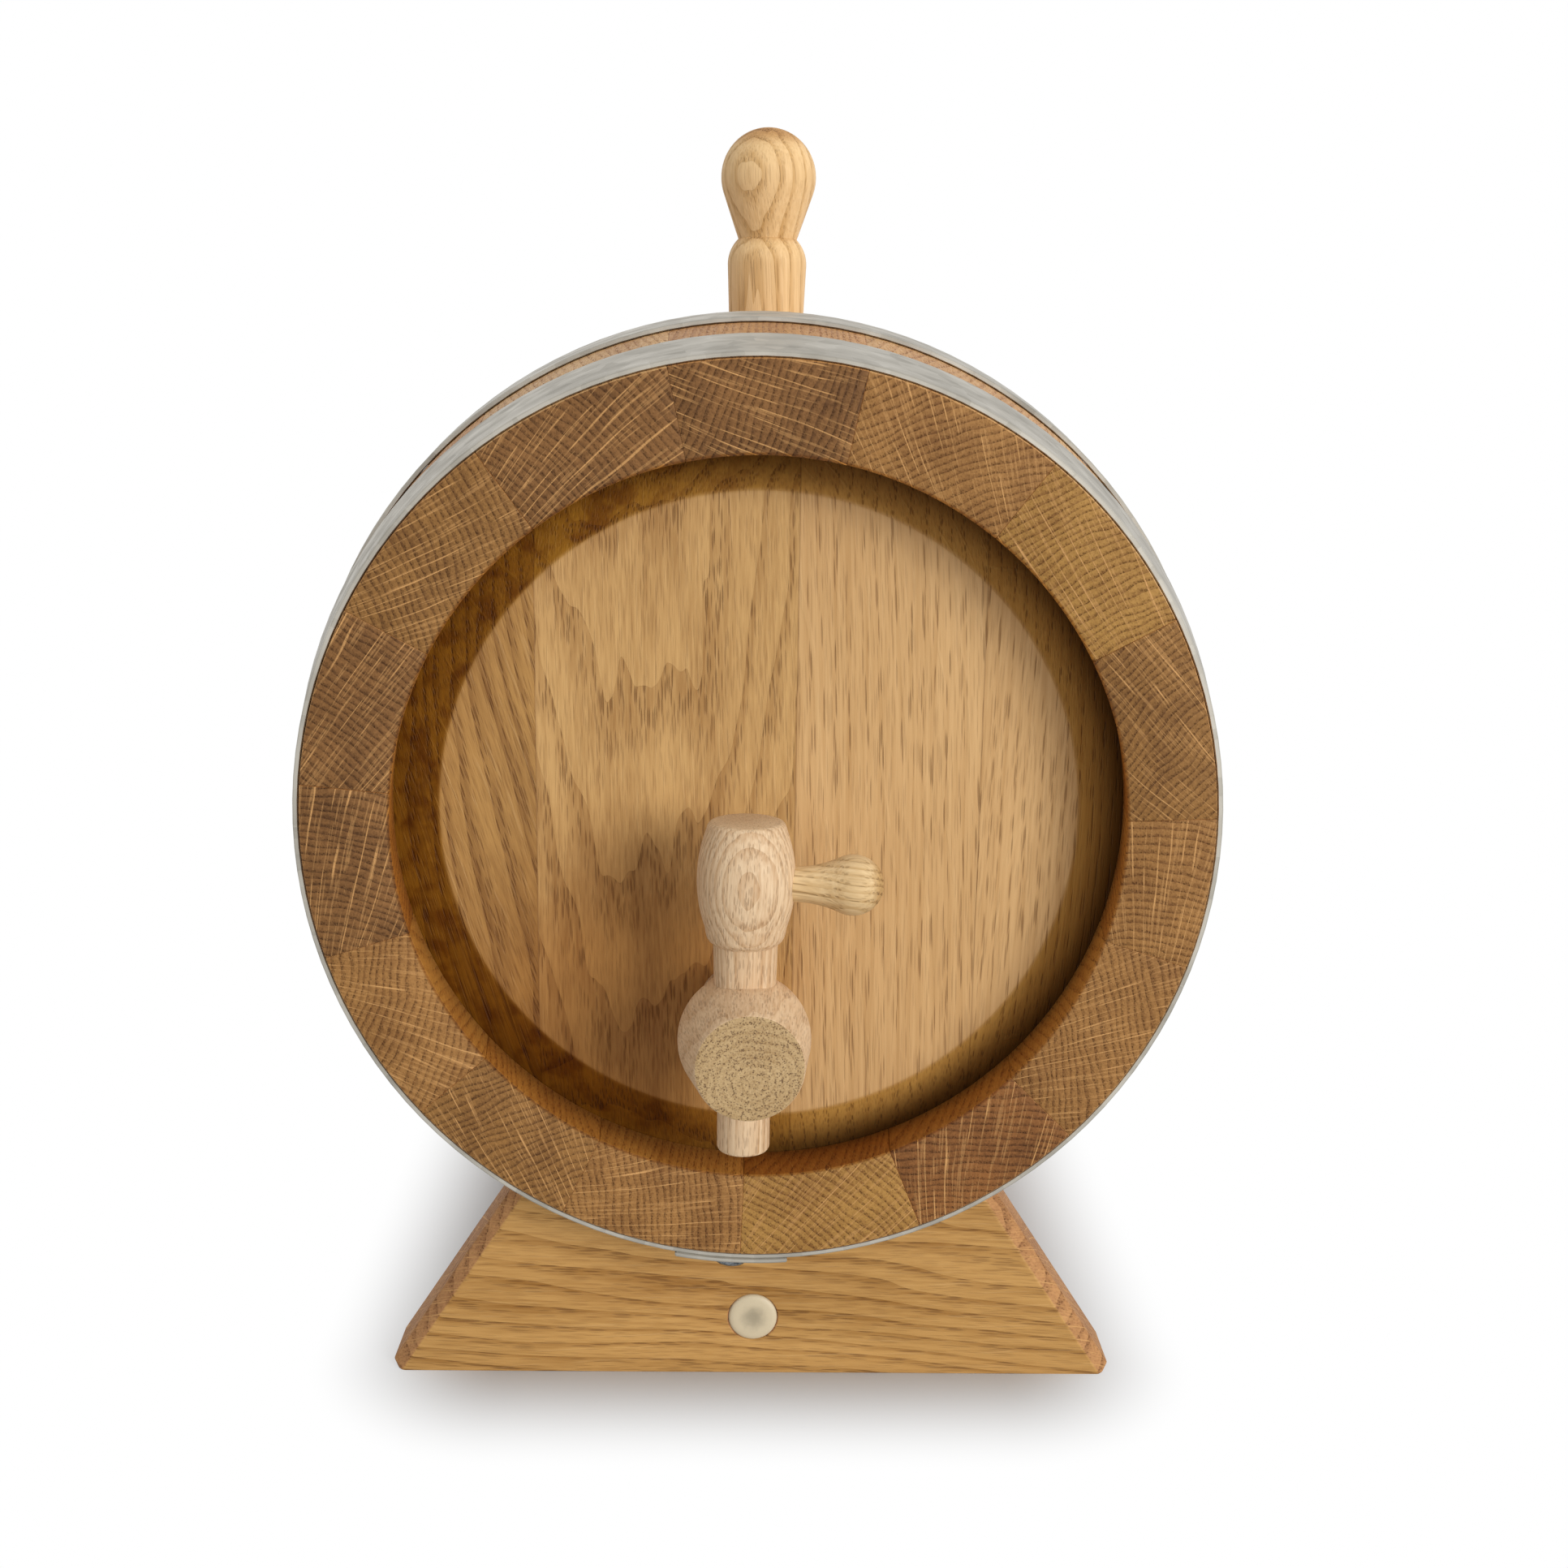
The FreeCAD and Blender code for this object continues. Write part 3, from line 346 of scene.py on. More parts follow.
def oak(
    name, grain, pith, reach, side_tones, end_tones, lean=(0, 0, 0), ring=1.7, sway=6, bands=0.4,
    marks=None, open_pores=0.55, ends=(0.5, 0.85),
):
    """Oiled oak: porous rings, long dark pores, and pale rays that show as thin lines in the end grain.

    The pith is where the middle of the log lay, and the reach is how far from it the piece lay. The ring is
    the width of a year. The ends are how squarely a face meets the grain where end grain starts and is full.
    """
    finish = Finish(name)
    turned, axis = GRAIN[grain]
    place, square = finish.timber(pith, [base + extra for base, extra in zip(turned, lean)], reach, sway)
    uneven = finish.noise(place, 9, 16, 110)
    season = finish.calc("FRACT", finish.total((place[0], 1 / ring), (uneven, 2.6)))
    spring = finish.fade(season, 0.6, 0.0)
    pores = finish.fade(finish.cells(square, 0.5, 0.5, 11), 0.5, 0.22)
    pores = finish.calc("MULTIPLY", pores, finish.total((spring, 0.7), (1.0, 0.3)))
    spacing = finish.total((place[1], 1 / 2.3), (finish.noise(place, 45, 6, 60), 1.8))
    rays = finish.calc("ABSOLUTE", finish.calc("SUBTRACT", finish.calc("FRACT", spacing), 0.5))
    broken = finish.fade(finish.noise(place, 14, 2, 9), 0.43, 0.6)
    rays = finish.calc("MULTIPLY", finish.fade(rays, 0.075, 0.03), broken)
    threads = finish.fade(finish.noise(place, 12, 0.45, 9, 1.0), 0.56, 0.66)
    fibre = finish.noise(square, 0.7, 0.7, 40, 4.0)
    tone = finish.noise(square, 12, 12, 110)
    end_grain = finish.fade(finish.facing(axis), *ends)

    shade = finish.clamped((spring, bands), (fibre, 1.2), (tone, 1.2), (1.0, -0.85 - bands / 3))
    side = finish.blend(shade, paint(side_tones[0]), paint(side_tones[1]))
    side = finish.blend(finish.calc("MULTIPLY", pores, open_pores), side, paint("6e4726"))
    side = finish.blend(finish.calc("MULTIPLY", rays, 0.12), side, paint("e3bd86"))
    shade = finish.clamped((spring, 0.55), (fibre, 1.2), (tone, 1.2), (1.0, -0.98))
    end = finish.blend(shade, paint(end_tones[0]), paint(end_tones[1]))
    end = finish.blend(finish.calc("MULTIPLY", pores, 0.5), end, paint("45290f"))
    end = finish.blend(finish.clamped((rays, 0.75), (threads, 0.3)), end, paint("d3a065"))
    colour = finish.blend(end_grain, side, end)
    if marks:
        colour = marks(finish, colour)
    finish.relief(finish.total((pores, -0.8), (fibre, 0.6), (rays, 0.3), (spring, -0.3)), 0.14)
    roughness = finish.total((fibre, 0.25), (end_grain, 0.12), (pores, 0.2), (1.0, 0.4))
    return finish.done(colour, roughness, gloss=0.22)


def beech(name, grain, pith, reach, end_tones, lean=(0, 0, 0), ring=1.9, bands=0.25, dust=0.95):
    """Raw beech: pale, a little pink, and sprinkled with fine dark pores."""
    finish = Finish(name)
    turned, axis = GRAIN[grain]
    place, square = finish.timber(pith, [base + extra for base, extra in zip(turned, lean)], reach, 3)
    uneven = finish.noise(square, 7, 12, 60)
    season = finish.calc("FRACT", finish.total((place[0], 1 / ring), (uneven, ring)))
    spring = finish.fade(season, 0.7, 0.0)
    specks = finish.fade(finish.cells(square, 0.42, 0.42, 2.6), 0.56, 0.3)
    patches = finish.fade(finish.noise(square, 0.9, 0.9, 6, 3.0), 0.4, 0.6)
    specks = finish.calc("MULTIPLY", specks, finish.total((patches, 0.75), (spring, 0.25)))
    fibre = finish.noise(square, 0.45, 0.45, 20, 4.0)
    tone = finish.noise(square, 8, 8, 40)
    end_grain = finish.fade(finish.facing(axis), 0.6, 0.92)
    shade = finish.clamped((spring, bands), (fibre, 1.5), (tone, 0.9), (1.0, -0.85 - bands / 2.5))
    side = finish.blend(shade, paint("e7c9a3"), paint("c0976c"))
    side = finish.blend(finish.calc("MULTIPLY", specks, 0.4), side, paint("86664a"))
    end = finish.blend(shade, paint(end_tones[0]), paint(end_tones[1]))
    end = finish.blend(finish.calc("MULTIPLY", specks, dust), end, paint("6a4f36"))
    colour = finish.blend(end_grain, side, end)
    finish.relief(finish.total((specks, -0.8), (fibre, 0.5)), 0.1)
    return finish.done(colour, finish.total((fibre, 0.2), (specks, 0.2), (1.0, 0.48)), gloss=0.3)


def galvanised(name, pale, deep):
    """Zinc-coated strip steel: faint spangle, and rolling lines along the hoop."""
    finish = Finish(name)
    x, y, z = finish.split(finish.measured(CASK_MIDDLE))
    around = finish.calc("MULTIPLY", finish.calc("ARCTAN2", x, z), 108.0)
    place = (y, around, 0.0)
    lines = finish.noise(place, 0.35, 30, 1, 3.0)
    bloom = finish.noise(place, 7, 18, 1, 3.0)
    spangle = finish.cells(place, 3.5, 4.5, 1, "Color")
    spangle = finish.split(spangle)[0]
    shade = finish.clamped((bloom, 1.2), (spangle, 0.25), (lines, 0.5), (1.0, -0.6))
    finish.relief(finish.total((lines, 0.5), (bloom, 0.5)), 0.005)
    roughness = finish.total((bloom, 0.25), (spangle, 0.1), (lines, 0.1), (1.0, 0.32))
    return finish.done(finish.blend(shade, paint(pale), paint(deep)), roughness, 1.0)


def plain_steel(name, code):
    """Bare steel with darker scuffs."""
    finish = Finish(name)
    place = finish.split(finish.measured((0, 0, 0)))
    scuffs = finish.noise(place, 0.8, 0.8, 0.8, 4.0)
    colour = finish.blend(finish.fade(scuffs, 0.35, 0.7), paint(code), paint("3f4346"))
    finish.relief(scuffs, 0.05)
    return finish.done(colour, finish.total((scuffs, 0.35), (1.0, 0.22)), 1.0)


def cap_plastic(name, centre):
    """Beige moulded plastic, greyer in its dimple."""
    finish = Finish(name)
    x, y, z = finish.split(finish.measured(centre))
    cloud = finish.noise((x, y, z), 1.6, 1.6, 1.6, 3.0)
    grain = finish.noise((x, y, z), 0.12, 0.12, 0.12, 1.0)
    shade = finish.fade(finish.total((finish.reach(x, z), 1), (cloud, 2.0)), 5.2, 1.6)
    colour = finish.blend(shade, paint("d6c6a6"), paint("ab9e84"))
    finish.relief(grain, 0.02)
    return finish.done(colour, finish.total((cloud, 0.2), (1.0, 0.36)))


def refinish(node, finish):
    """Give a CAD node that stays in sight its finish."""
    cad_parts[node].material_slots[0].material = finish


# ---- The cask ----

HALF = CASK_LENGTH / 2
TO_REAR = turned_about(CASK_MIDDLE, "Z", 180)


def bend_radius(run, rise):
    """The radius of an arc that rises by so much over half of its length."""
    return (run ** 2 + rise ** 2) / (2 * rise)


STAVE_BEND = bend_radius(HALF, BILGE_RADIUS - CHIME_RADIUS)


def barrelled(depth):
    """The radius of the cask's outside, at a depth from its front."""
    return BILGE_RADIUS - STAVE_BEND + math.sqrt(STAVE_BEND ** 2 - (HALF - depth) ** 2)


def stave_middles():
    """The angle of each stave's middle from upright, and the angle it covers."""
    share = FULL_TURN / sum(STAVE_WIDTHS)
    angle = BUNG_LEAN - STAVE_WIDTHS[0] * share / 2
    for width in STAVE_WIDTHS:
        yield angle + width * share / 2, width * share
        angle += width * share


def stave_profile():
    """Depth and radius round a stave's section."""
    throat, croze = 83.5, 86.5
    near_lip, near_floor, far_floor, far_lip = 19.83, 20.75, 24.35, 25.83
    lip = [
        (0, MOUTH_RADIUS), (near_lip, throat), (near_floor, croze), (far_floor, croze), (far_lip, throat),
    ]
    outside_steps, hollow_steps = 24, 10
    outside = []
    for step in range(outside_steps + 1):
        depth = CASK_LENGTH * step / outside_steps
        outside.append((depth, barrelled(depth)))
    run = HALF - far_lip
    bend = bend_radius(run, INSIDE_RADIUS - throat)
    hollow = []
    for step in range(1, hollow_steps):
        depth = far_lip + run * 2 * step / hollow_steps
        hollow.append((depth, INSIDE_RADIUS - bend + math.sqrt(bend ** 2 - (HALF - depth) ** 2)))
    far_end = [(CASK_LENGTH - depth, radius) for depth, radius in lip]
    return outside + far_end + hollow[::-1] + lip[::-1]


# The tones of the end grain, pale and deep.
TAN, BROWN = ("a47642", "6e4722"), ("976c3a", "5f3d1d")
RUSSET, HONEY = ("915f32", "5b371a"), ("b08445", "7b5226")
UMBER = ("8a6036", "53351a")
# For each stave: the direction of its rays in the end grain, how far off the pith lay, and its tones.
STAVE_FIGURES = (
    (-20, 120, UMBER), (109, 120, TAN), (118, 90, HONEY), (135, 120, BROWN), (82, 42, TAN),
    (12, 110, TAN), (88, 100, RUSSET), (50, 110, HONEY), (3, 90, TAN), (115, 100, BROWN),
    (-15, 60, TAN), (80, 90, UMBER), (55, 140, UMBER), (25, 100, BROWN), (48, 90, UMBER),
)
# The tones of the cask's outside, and which of them each stave has.
SHELL_TONES = ("cf9f66", "a06a38"), ("c48f54", "925a2a"), ("d3a76f", "a87441")
SHELL_ORDER = (1, 0, 2, 1, 0, 2, 0, 1, 2, 0, 2, 1, 0, 1, 2)
END_FACE_RADIUS = 92  # about the middle of the end grain


def bung_hole_cutter():
    """A tapered plug that starts inside the cask and ends above it."""
    low, high = -35, 10
    plug = [
        (0, BILGE_RADIUS + low), (BUNG_HOLE_RADIUS + low * BUNG_TAPER, BILGE_RADIUS + low),
        (BUNG_HOLE_RADIUS + high * BUNG_TAPER, BILGE_RADIUS + high), (0, BILGE_RADIUS + high),
    ]
    cutter = lathe("bung_hole", CASK_MIDDLE, ALONG_Z, plug)
    return moved(cutter, turned_about(CASK_MIDDLE, "Y", BUNG_LEAN))


def make_staves():
    """Fifteen staves of unequal width, the first of them with the bung hole."""
    profile = stave_profile()
    bung_hole = bung_hole_cutter()
    staves = zip(stave_middles(), STAVE_FIGURES, SHELL_ORDER)
    for number, ((middle, span), (rays, distance, tones), shell) in enumerate(staves, 1):
        draw_face(*[(0, FRONT_FACE + depth, AXIS_HEIGHT + radius) for depth, radius in profile])
        turn(CASK_MIDDLE, ALONG_Y, 8, span)
        stave = settle(f"oak_stave_{number:02d}")
        moved(stave, turned_about(CASK_MIDDLE, "Y", middle + span / 2))
        if number == 1:
            cut(stave, bung_hole)
        soften(stave, 0.3)
        ray, side = math.radians(rays), math.radians(middle)
        pith = (
            END_FACE_RADIUS * math.sin(side) - distance * math.cos(ray), MIDDLE,
            AXIS_HEIGHT + END_FACE_RADIUS * math.cos(side) - distance * math.sin(ray),
        )
        name = f"stave_oak_{number:02d}"
        finish = oak(name, "Y", pith, distance, SHELL_TONES[shell], tones, marks=tinted_shaded_mouth)
        hang(stave, "cask", finish, "stave_oak", f"stave_{number:02d}")


def tinted_shaded_mouth(finish, colour):
    """The inside of the chime is darker and browner than the end grain: browner wood there, and painted
    shade in the recess.
    """
    x, y, z = finish.split(finish.measured(CASK_MIDDLE))
    depth = finish.calc("SUBTRACT", HALF, finish.calc("ABSOLUTE", y))
    wall = finish.total((finish.reach(x, z), 1.0), (depth, -CHIME_FLARE), (1.0, -MOUTH_RADIUS))
    inside = finish.fade(wall, 0.8, 0.3)
    return finish.tinted(inside, colour, "d8c088")


def head_marks(damp_shadow_share, *joints):
    """Thin dark lines where a head's boards meet, a damp patch low down that also serves as the tap's
    painted shadow, a stained rim, and painted shade darkening the outer rim, mostly on the right.
    """

    def mark(finish, colour):
        x, y, z = finish.split(finish.measured(CASK_MIDDLE))
        for joint in joints:
            off = finish.calc("ABSOLUTE", finish.calc("SUBTRACT", x, float(joint)))
            line = finish.calc("MULTIPLY", finish.fade(off, 0.28, 0.05), 0.4)
            colour = finish.blend(line, colour, paint("7a5430"))
        # A damp patch left of the tap, which is also the tap's painted shadow on the head.
        beside = finish.total((x, 1.0), (1.0, 28.0))
        below = finish.total((z, 0.8), (1.0, 38.0))
        patchy = finish.noise((x, y, z), 5, 5, 5, 3.0)
        damp_and_tap_shadow = finish.fade(finish.total((finish.reach(beside, below), 1.0), (patchy, 8.0)), 54, 18)
        colour = finish.tinted(finish.calc("MULTIPLY", damp_and_tap_shadow, damp_shadow_share), colour, "c9aa74")
        out = finish.reach(x, z)
        rim = finish.fade(out, 71.8, 73.4)
        right = finish.fade(x, -45, 35)
        left = finish.calc("MULTIPLY", rim, finish.calc("SUBTRACT", 1.0, right))
        colour = finish.tinted(rim, colour, "e6d8a4")
        colour = finish.tinted(left, colour, "dccf8c")
        blotched = finish.calc("MULTIPLY", left, finish.fade(patchy, 0.4, 0.7))
        colour = finish.tinted(blotched, colour, "c8b284")
        # Painted shade: darker towards the outer rim, strongly on the right where the chime's shadow falls,
        # with a little grime all round.
        edge = finish.fade(out, 73, 84)
        rim_shade_and_grime = finish.calc("MULTIPLY", edge, finish.total((right, 0.82), (1.0, 0.08)))
        return finish.tinted(rim_shade_and_grime, colour, "5c4424")

    return mark


def finish_heads():
    """The boards of both heads, each sawn from its own place in a log."""
    front, rear = head_marks(0.75, -50.5, 8.1, 50), head_marks(0.0, 44, 2, -47)
    dark, middling, light = ("b98c50", "7d5429"), ("d0a56a", "986b38"), ("dbb17a", "ba8d57")
    # The node, where its pith lay and how far off, its tones, its lean, its sway, its bands and its marks.
    boards = (
        ("front_head_board_1", (-92, -60, 140), 45, dark, (6, -15, 0), 6, 0.45, front),
        ("front_head_board_2", (-25, -40, 140), 65, middling, (4, -1, 0), 4, 0.35, front),
        ("front_head_board_3", (190, -160, 140), 170, light, (1, -2, 0), 4, 0.2, front),
        ("front_head_board_4", (230, -60, 140), 180, light, (2, 2, 0), 5, 0.25, front),
        ("rear_head_board_1", (140, 200, 140), 120, middling, (2, 2, 0), 5, 0.3, rear),
        ("rear_head_board_2", (20, 170, 140), 60, dark, (6, -3, 0), 6, 0.5, rear),
        ("rear_head_board_3", (-110, 250, 140), 150, light, (-2, 3, 0), 4, 0.3, rear),
        ("rear_head_board_4", (-180, 190, 140), 140, middling, (3, 1, 0), 5, 0.3, rear),
    )
    for node, pith, reach, tones, lean, sway, bands, marks in boards:
        refinish(node, oak(f"{node}_oak", "Z", pith, reach, tones, HONEY, lean, 2.9, sway, bands, marks))


def hoop_strip(inset, lift):
    """The section of a hoop's strip, lifted off the staves by what lies below it."""
    back = inset + HOOP_WIDTH
    near, far = barrelled(inset) + HOOP_GAP + lift, barrelled(back) + HOOP_GAP + lift
    section = ((inset, near), (inset, near + HOOP_THICKNESS), (back, far + HOOP_THICKNESS), (back, far))
    return [(0, FRONT_FACE + depth, AXIS_HEIGHT + radius) for depth, radius in section]


def make_rivets(name, inset):
    """The two rivets of a front hoop's lap, as one piece: each is a shank with a low domed head."""
    near, far = barrelled(inset), barrelled(inset + HOOP_WIDTH)
    slope = math.degrees(math.atan2(far - near, HOOP_WIDTH))
    profile = [(0, -2.2), (1.6, -2.2), (1.6, 0), (3.6, 0), (3.75, 0.15)]
    for angle in range(0, 91, 10):
        up = math.radians(angle)
        profile.append((3.75 * math.cos(up), 0.5 + 1.5 * math.sin(up)))
    rivets = []
    for depth in (inset + 5.5, inset + 16.5):
        radius = near + (far - near) * (depth - inset) / HOOP_WIDTH + HOOP_GAP + 2 * HOOP_THICKNESS
        seat = (0, FRONT_FACE + depth, AXIS_HEIGHT + radius)
        rivet = lathe(f"{name}_rivet", seat, ALONG_Z, profile, 28)
        moved(rivet, turned_about(seat, "X", slope))
        rivets.append(moved(rivet, turned_about(CASK_MIDDLE, "Y", LAP_PLACE)))
    return joined(*rivets)


def make_hoop(name, inset, steel, rivet_steel):
    """A front hoop and its twin at the rear: a ring, its lap underneath and two rivets."""
    section = hoop_strip(inset, 0)
    draw(*section, section[0])
    turn(CASK_MIDDLE, ALONG_Y, 120)
    ring = settle(f"{name}_ring")
    draw_face(*hoop_strip(inset, HOOP_THICKNESS))
    turn(CASK_MIDDLE, ALONG_Y, 8, LAP_ANGLE)
    lap = moved(settle(f"{name}_lap"), turned_about(CASK_MIDDLE, "Y", LAP_PLACE + LAP_ANGLE / 2))
    soften(ring, 0.25, 1)
    soften(lap, 0.3, 1)
    joined(ring, lap)
    pair = make_rivets(name, inset)
    rear_ring = copied(ring, f"rear_{name}", TO_REAR)
    rear_pair = copied(pair, f"rear_{name}_rivet_pair", TO_REAR)
    for side, strip, heads in (("rear", rear_ring, rear_pair), ("front", ring, pair)):
        strip.name, heads.name = f"{side}_{name}_strip", f"{side}_{name}_rivet_pair"
        hang(strip, "cask", steel, "hoop_steel", f"{side}_{name}")
        hang(heads, "cask", rivet_steel, "rivet_steel", f"{side}_{name}_rivets")


# ---- Bung, tap and cradle ----


def make_bung():
    """A ball that narrows to a sharp waist, a round shoulder, and a shank into the stave."""
    outside = 10.25
    shank = [(0, -23), (outside - 23 * BUNG_TAPER - 0.4, -23), (outside - 22.5 * BUNG_TAPER, -22.5)]
    shank += [(outside, 0), (outside + 12 * BUNG_TAPER, 12)]
    shoulder = arc((1.56, 14.09), 9.23, -3.6, 45.8, 12)
    flanks = [(8.2, 21.3), (9.2, 24.1), (10.6, 28.1), (11.6, 31)]
    ball = arc((0, 36.9), 12.9, -19.3, 90, 26)
    foot = Vector(CASK_MIDDLE) + Vector((0, 0, BILGE_RADIUS))
    bung = lathe("oak_bung", foot, ALONG_Z, shank + shoulder + flanks + ball, 80)
    moved(bung, turned_about(CASK_MIDDLE, "Y", BUNG_LEAN))
    tones = ("f0ca94", "cb9f64"), ("d3a268", "a67746")
    pith = (-14, MIDDLE - 34, 300)
    finish = oak("bung_oak", "Z", pith, 38, *tones, (3, -3, 0), 3.6, 5, 0.6, open_pores=0.2)
    hang(bung, "bung", finish, "bung_oak", "bung")


def make_tap():
    """A disc in front, a bulb that the key passes through, a collar, and a shank driven into the head."""
    bulb, disc, slope = 14.6, 18.3, 9.5
    edge = (bulb - disc * math.sin(math.radians(slope))) / math.cos(math.radians(slope))
    profile = [(0, -disc), (edge - 0.7, -disc), (edge - 0.25, -disc + 0.12), (edge, -disc + 0.6)]
    profile += swapped(arc((0, 0), bulb, 90 + slope, 46, 20))
    profile += [(10.4, 10.25), (10.4, 17.3), (10.15, 17.9)]
    profile += [(8.78, 18.5), (8.0, 49.1), (7.6, 49.5), (0, 49.5)]
    tap = lathe("beech_tap", TAP_AXIS, ALONG_Y, profile, 80)
    taper, plug, end = 1 / (2 * bulb), 6.35, 16
    line = [(0, -end), (plug - end * taper, -end), (plug + end * taper, end), (0, end)]
    key_hole = lathe("key_hole", TAP_AXIS, ALONG_Z, line, 72)
    bore = lathe("tap_bore", TAP_AXIS, ALONG_Y, [(0, 0), (3, 0), (3, 60), (0, 60)], 32)
    cut(tap, key_hole, bore)
    soften(tap, 0.2)
    moved(tap, turned_about(TAP_AXIS, "Z", TAP_TURN))
    finish = beech("tap_beech", "Y", TAP_AXIS + Vector((2, 0, -3)), 10, ("c8aa7c", "9a784c"))
    hang(tap, "cask", finish, "tap_beech", "tap_body")


def make_key():
    """A barrel handle, a neck, and a plug whose lower end is the hollow spout."""
    spout = [(0, 0), (3, 0), (3, -24.9), (3.3, -25.3)]
    spout += [(5.0, -25.3), (5.5, -25.1), (5.8, -24.5), (5.8, -14.6)]
    neck = [(6.8, 14.6), (6.98, 21.8)]
    foot = [(7.3, 22.2), (7.9, 22.6), (8.35, 23.3), (8.65, 24.3)]
    handle = arc((-21.3, 36), 31.9, -19, 20, 14)
    top = [(8.45, 47.7), (8.2, 48.2), (7.8, 48.6), (7.2, 48.8), (0, 48.8)]
    key = lathe("beech_key", TAP_AXIS, ALONG_Z, spout + neck + foot + handle + top, 80)
    socket = lathe("lever_socket", LEVER_FOOT, ALONG_X, [(0, 3.9), (3.89, 3.9), (3.89, 14), (0, 14)], 48)
    cut(key, socket)
    soften(key, 0.15)
    pale = "e4c7a0", "c6a078"
    finish = beech("key_beech", "Z", TAP_AXIS + Vector((-2, 26, 30)), 24, pale, (0, 2, 0), 1.0, 0.45, 0.3)
    hang(key, "key", finish, "tap_beech", "tap_key")


def make_lever():
    """A peg in the side of the key, whose neck flares smoothly into a round bulb."""
    start, middle, neck, bulb = 10.6, 22.9, 3.85, 6.6
    run = middle - start
    flare = (run ** 2 + neck ** 2 - bulb ** 2) / (2 * (bulb - neck))
    meeting = math.degrees(math.asin(run / (flare + bulb)))
    tenon = [(0, 4), (3.3, 4), (neck, 4.5)]
    sweep = swapped(arc((start, neck + flare), flare, -90, meeting - 90, 10))
    grip = swapped(arc((middle, 0), bulb, 90 + meeting, 0, 22))
    peg = lathe("oak_lever", LEVER_FOOT, ALONG_X, tenon + sweep + grip[1:], 64)
    tones = ("eacb9a", "c29b64"), ("cfa870", "9b7648")
    pith = LEVER_FOOT + Vector((20, -12, -22))
    finish = oak("lever_oak", "X", pith, 24, *tones, (0, 6, 0), 1.8, 4, open_pores=0.35)
    hang(peg, "key", finish, "lever_oak", "lever_peg")


def make_cradle_board(front):
    """A board with a round seat, sloped ends with a bevel in front, and the stepped hole of its screw."""
    wrap, foot, clip, edge, tip_flat = 30.3, 89.4, 1.6, 3.0, 2.2
    seat = arc((0, AXIS_HEIGHT), SEAT_RADIUS, wrap - 90, -90 - wrap, 40)
    tip, tip_height = seat[0][0] + tip_flat, seat[0][1]
    shape = [(clip - foot, 0), (foot - clip, 0), (foot, clip), (tip, tip_height)]
    shape += seat + [(-tip, tip_height), (-foot, clip)]
    draw_face(*[(x, front, z) for x, z in shape])
    bpy.ops.mesh.extrude_region_move(TRANSFORM_OT_translate={"value": (0, BOARD_THICKNESS * MM, 0)})
    tidy_skin()
    slant = Vector((tip_height - clip, 0, foot - tip)).normalized()
    for side in (1, -1):
        outward = Vector((slant.x * side, 0, slant.z))
        corner = Vector((foot * side, front, clip)) - outward * edge
        bpy.ops.mesh.select_all(action="SELECT")
        bpy.ops.mesh.bisect(
            plane_co=corner * MM, plane_no=outward + Vector((0, -1, 0)), use_fill=True, clear_outer=True
        )
    tidy_skin()
    board = settle("front_cradle_oak")
    screw_bore = lathe(
        "screw_bore", (0, front, SCREW_HEIGHT), ALONG_Y,
        [(0, -1), (6.05, -1), (6.05, 2.95), (5.1, 2.95), (5.1, 7.45), (3.6, 7.45), (3.6, 30), (0, 30)], 48,
    )
    cut(board, screw_bore)
    soften(board, 0.6, 3)
    return board


def make_cover_cap(front):
    """A round cap that stands just proud of its board, with a shallow dimple."""
    dimple = [(0, -0.22), (1.2, -0.28), (2.4, -0.44), (3.2, -0.5), (4.6, -0.46), (5.4, -0.3), (5.8, -0.05)]
    rim = [(6, 0.3), (6, 2.5), (0, 2.5)]
    return lathe("front_cap", (0, front, SCREW_HEIGHT), ALONG_Y, dimple + rim, 56)


def make_cradle():
    """The two boards, each with its cover cap, and the rail between them."""
    front = FRONT_FACE + BOARD_INSET
    board = make_cradle_board(front)
    cap = make_cover_cap(front)
    rear_board = copied(board, "rear_cradle_oak", TO_REAR)
    rear_cap = copied(cap, "rear_cap", TO_REAR)
    tones = ("cb9c5c", "996a30"), ("c08c5a", "90623c")
    for side, face, piece, lid, pith in (
        ("front", front, board, cap, (0, front - 55, 60)),
        ("rear", MIDDLE * 2 - front, rear_board, rear_cap, (0, 170, 50)),
    ):
        finish = oak(f"{side}_cradle_oak", "X", pith, 70, *tones, (0, 2, 3), 2.8, 9, 0.5, ends=(0.3, 0.5))
        hang(piece, "stand", finish, "cradle_oak", f"{side}_cradle_board")
        plastic = cap_plastic(f"{side}_cap_plastic", (0, face, SCREW_HEIGHT))
        hang(lid, "stand", plastic, "cap_plastic", f"{side}_cover_cap")
    refinish("spreader_rail", oak("rail_oak", "Y", (40, 10, -60), 80, *tones, (0, 0, 3), 2.8, 10, 0.5))


def finish_hidden_pieces():
    """Dowels and screws, which show only when the model is taken apart."""
    dowels = beech("dowel_beech", "X", (0, 40, 120), 40, ("d3b88e", "ab8a5e"))
    screws = plain_steel("screw_steel", "9a9d9f")
    for node in ("front_head_dowels", "rear_head_dowels", "rail_dowels"):
        refinish(node, dowels)
    refinish("stand_screws", screws)


# ---- The stage ----

SHADOW_HALF_WIDTH, SHADOW_HALF_DEPTH = 60.0, 80.0  # where the floor shows all of its shadow
SHADOW_FADE = 4, 52  # how far past that the floor starts to whiten, and is white
SKY_LEVEL = 0.62
LAMP_LEVEL, LAMP_SPREAD = 1.9, 28


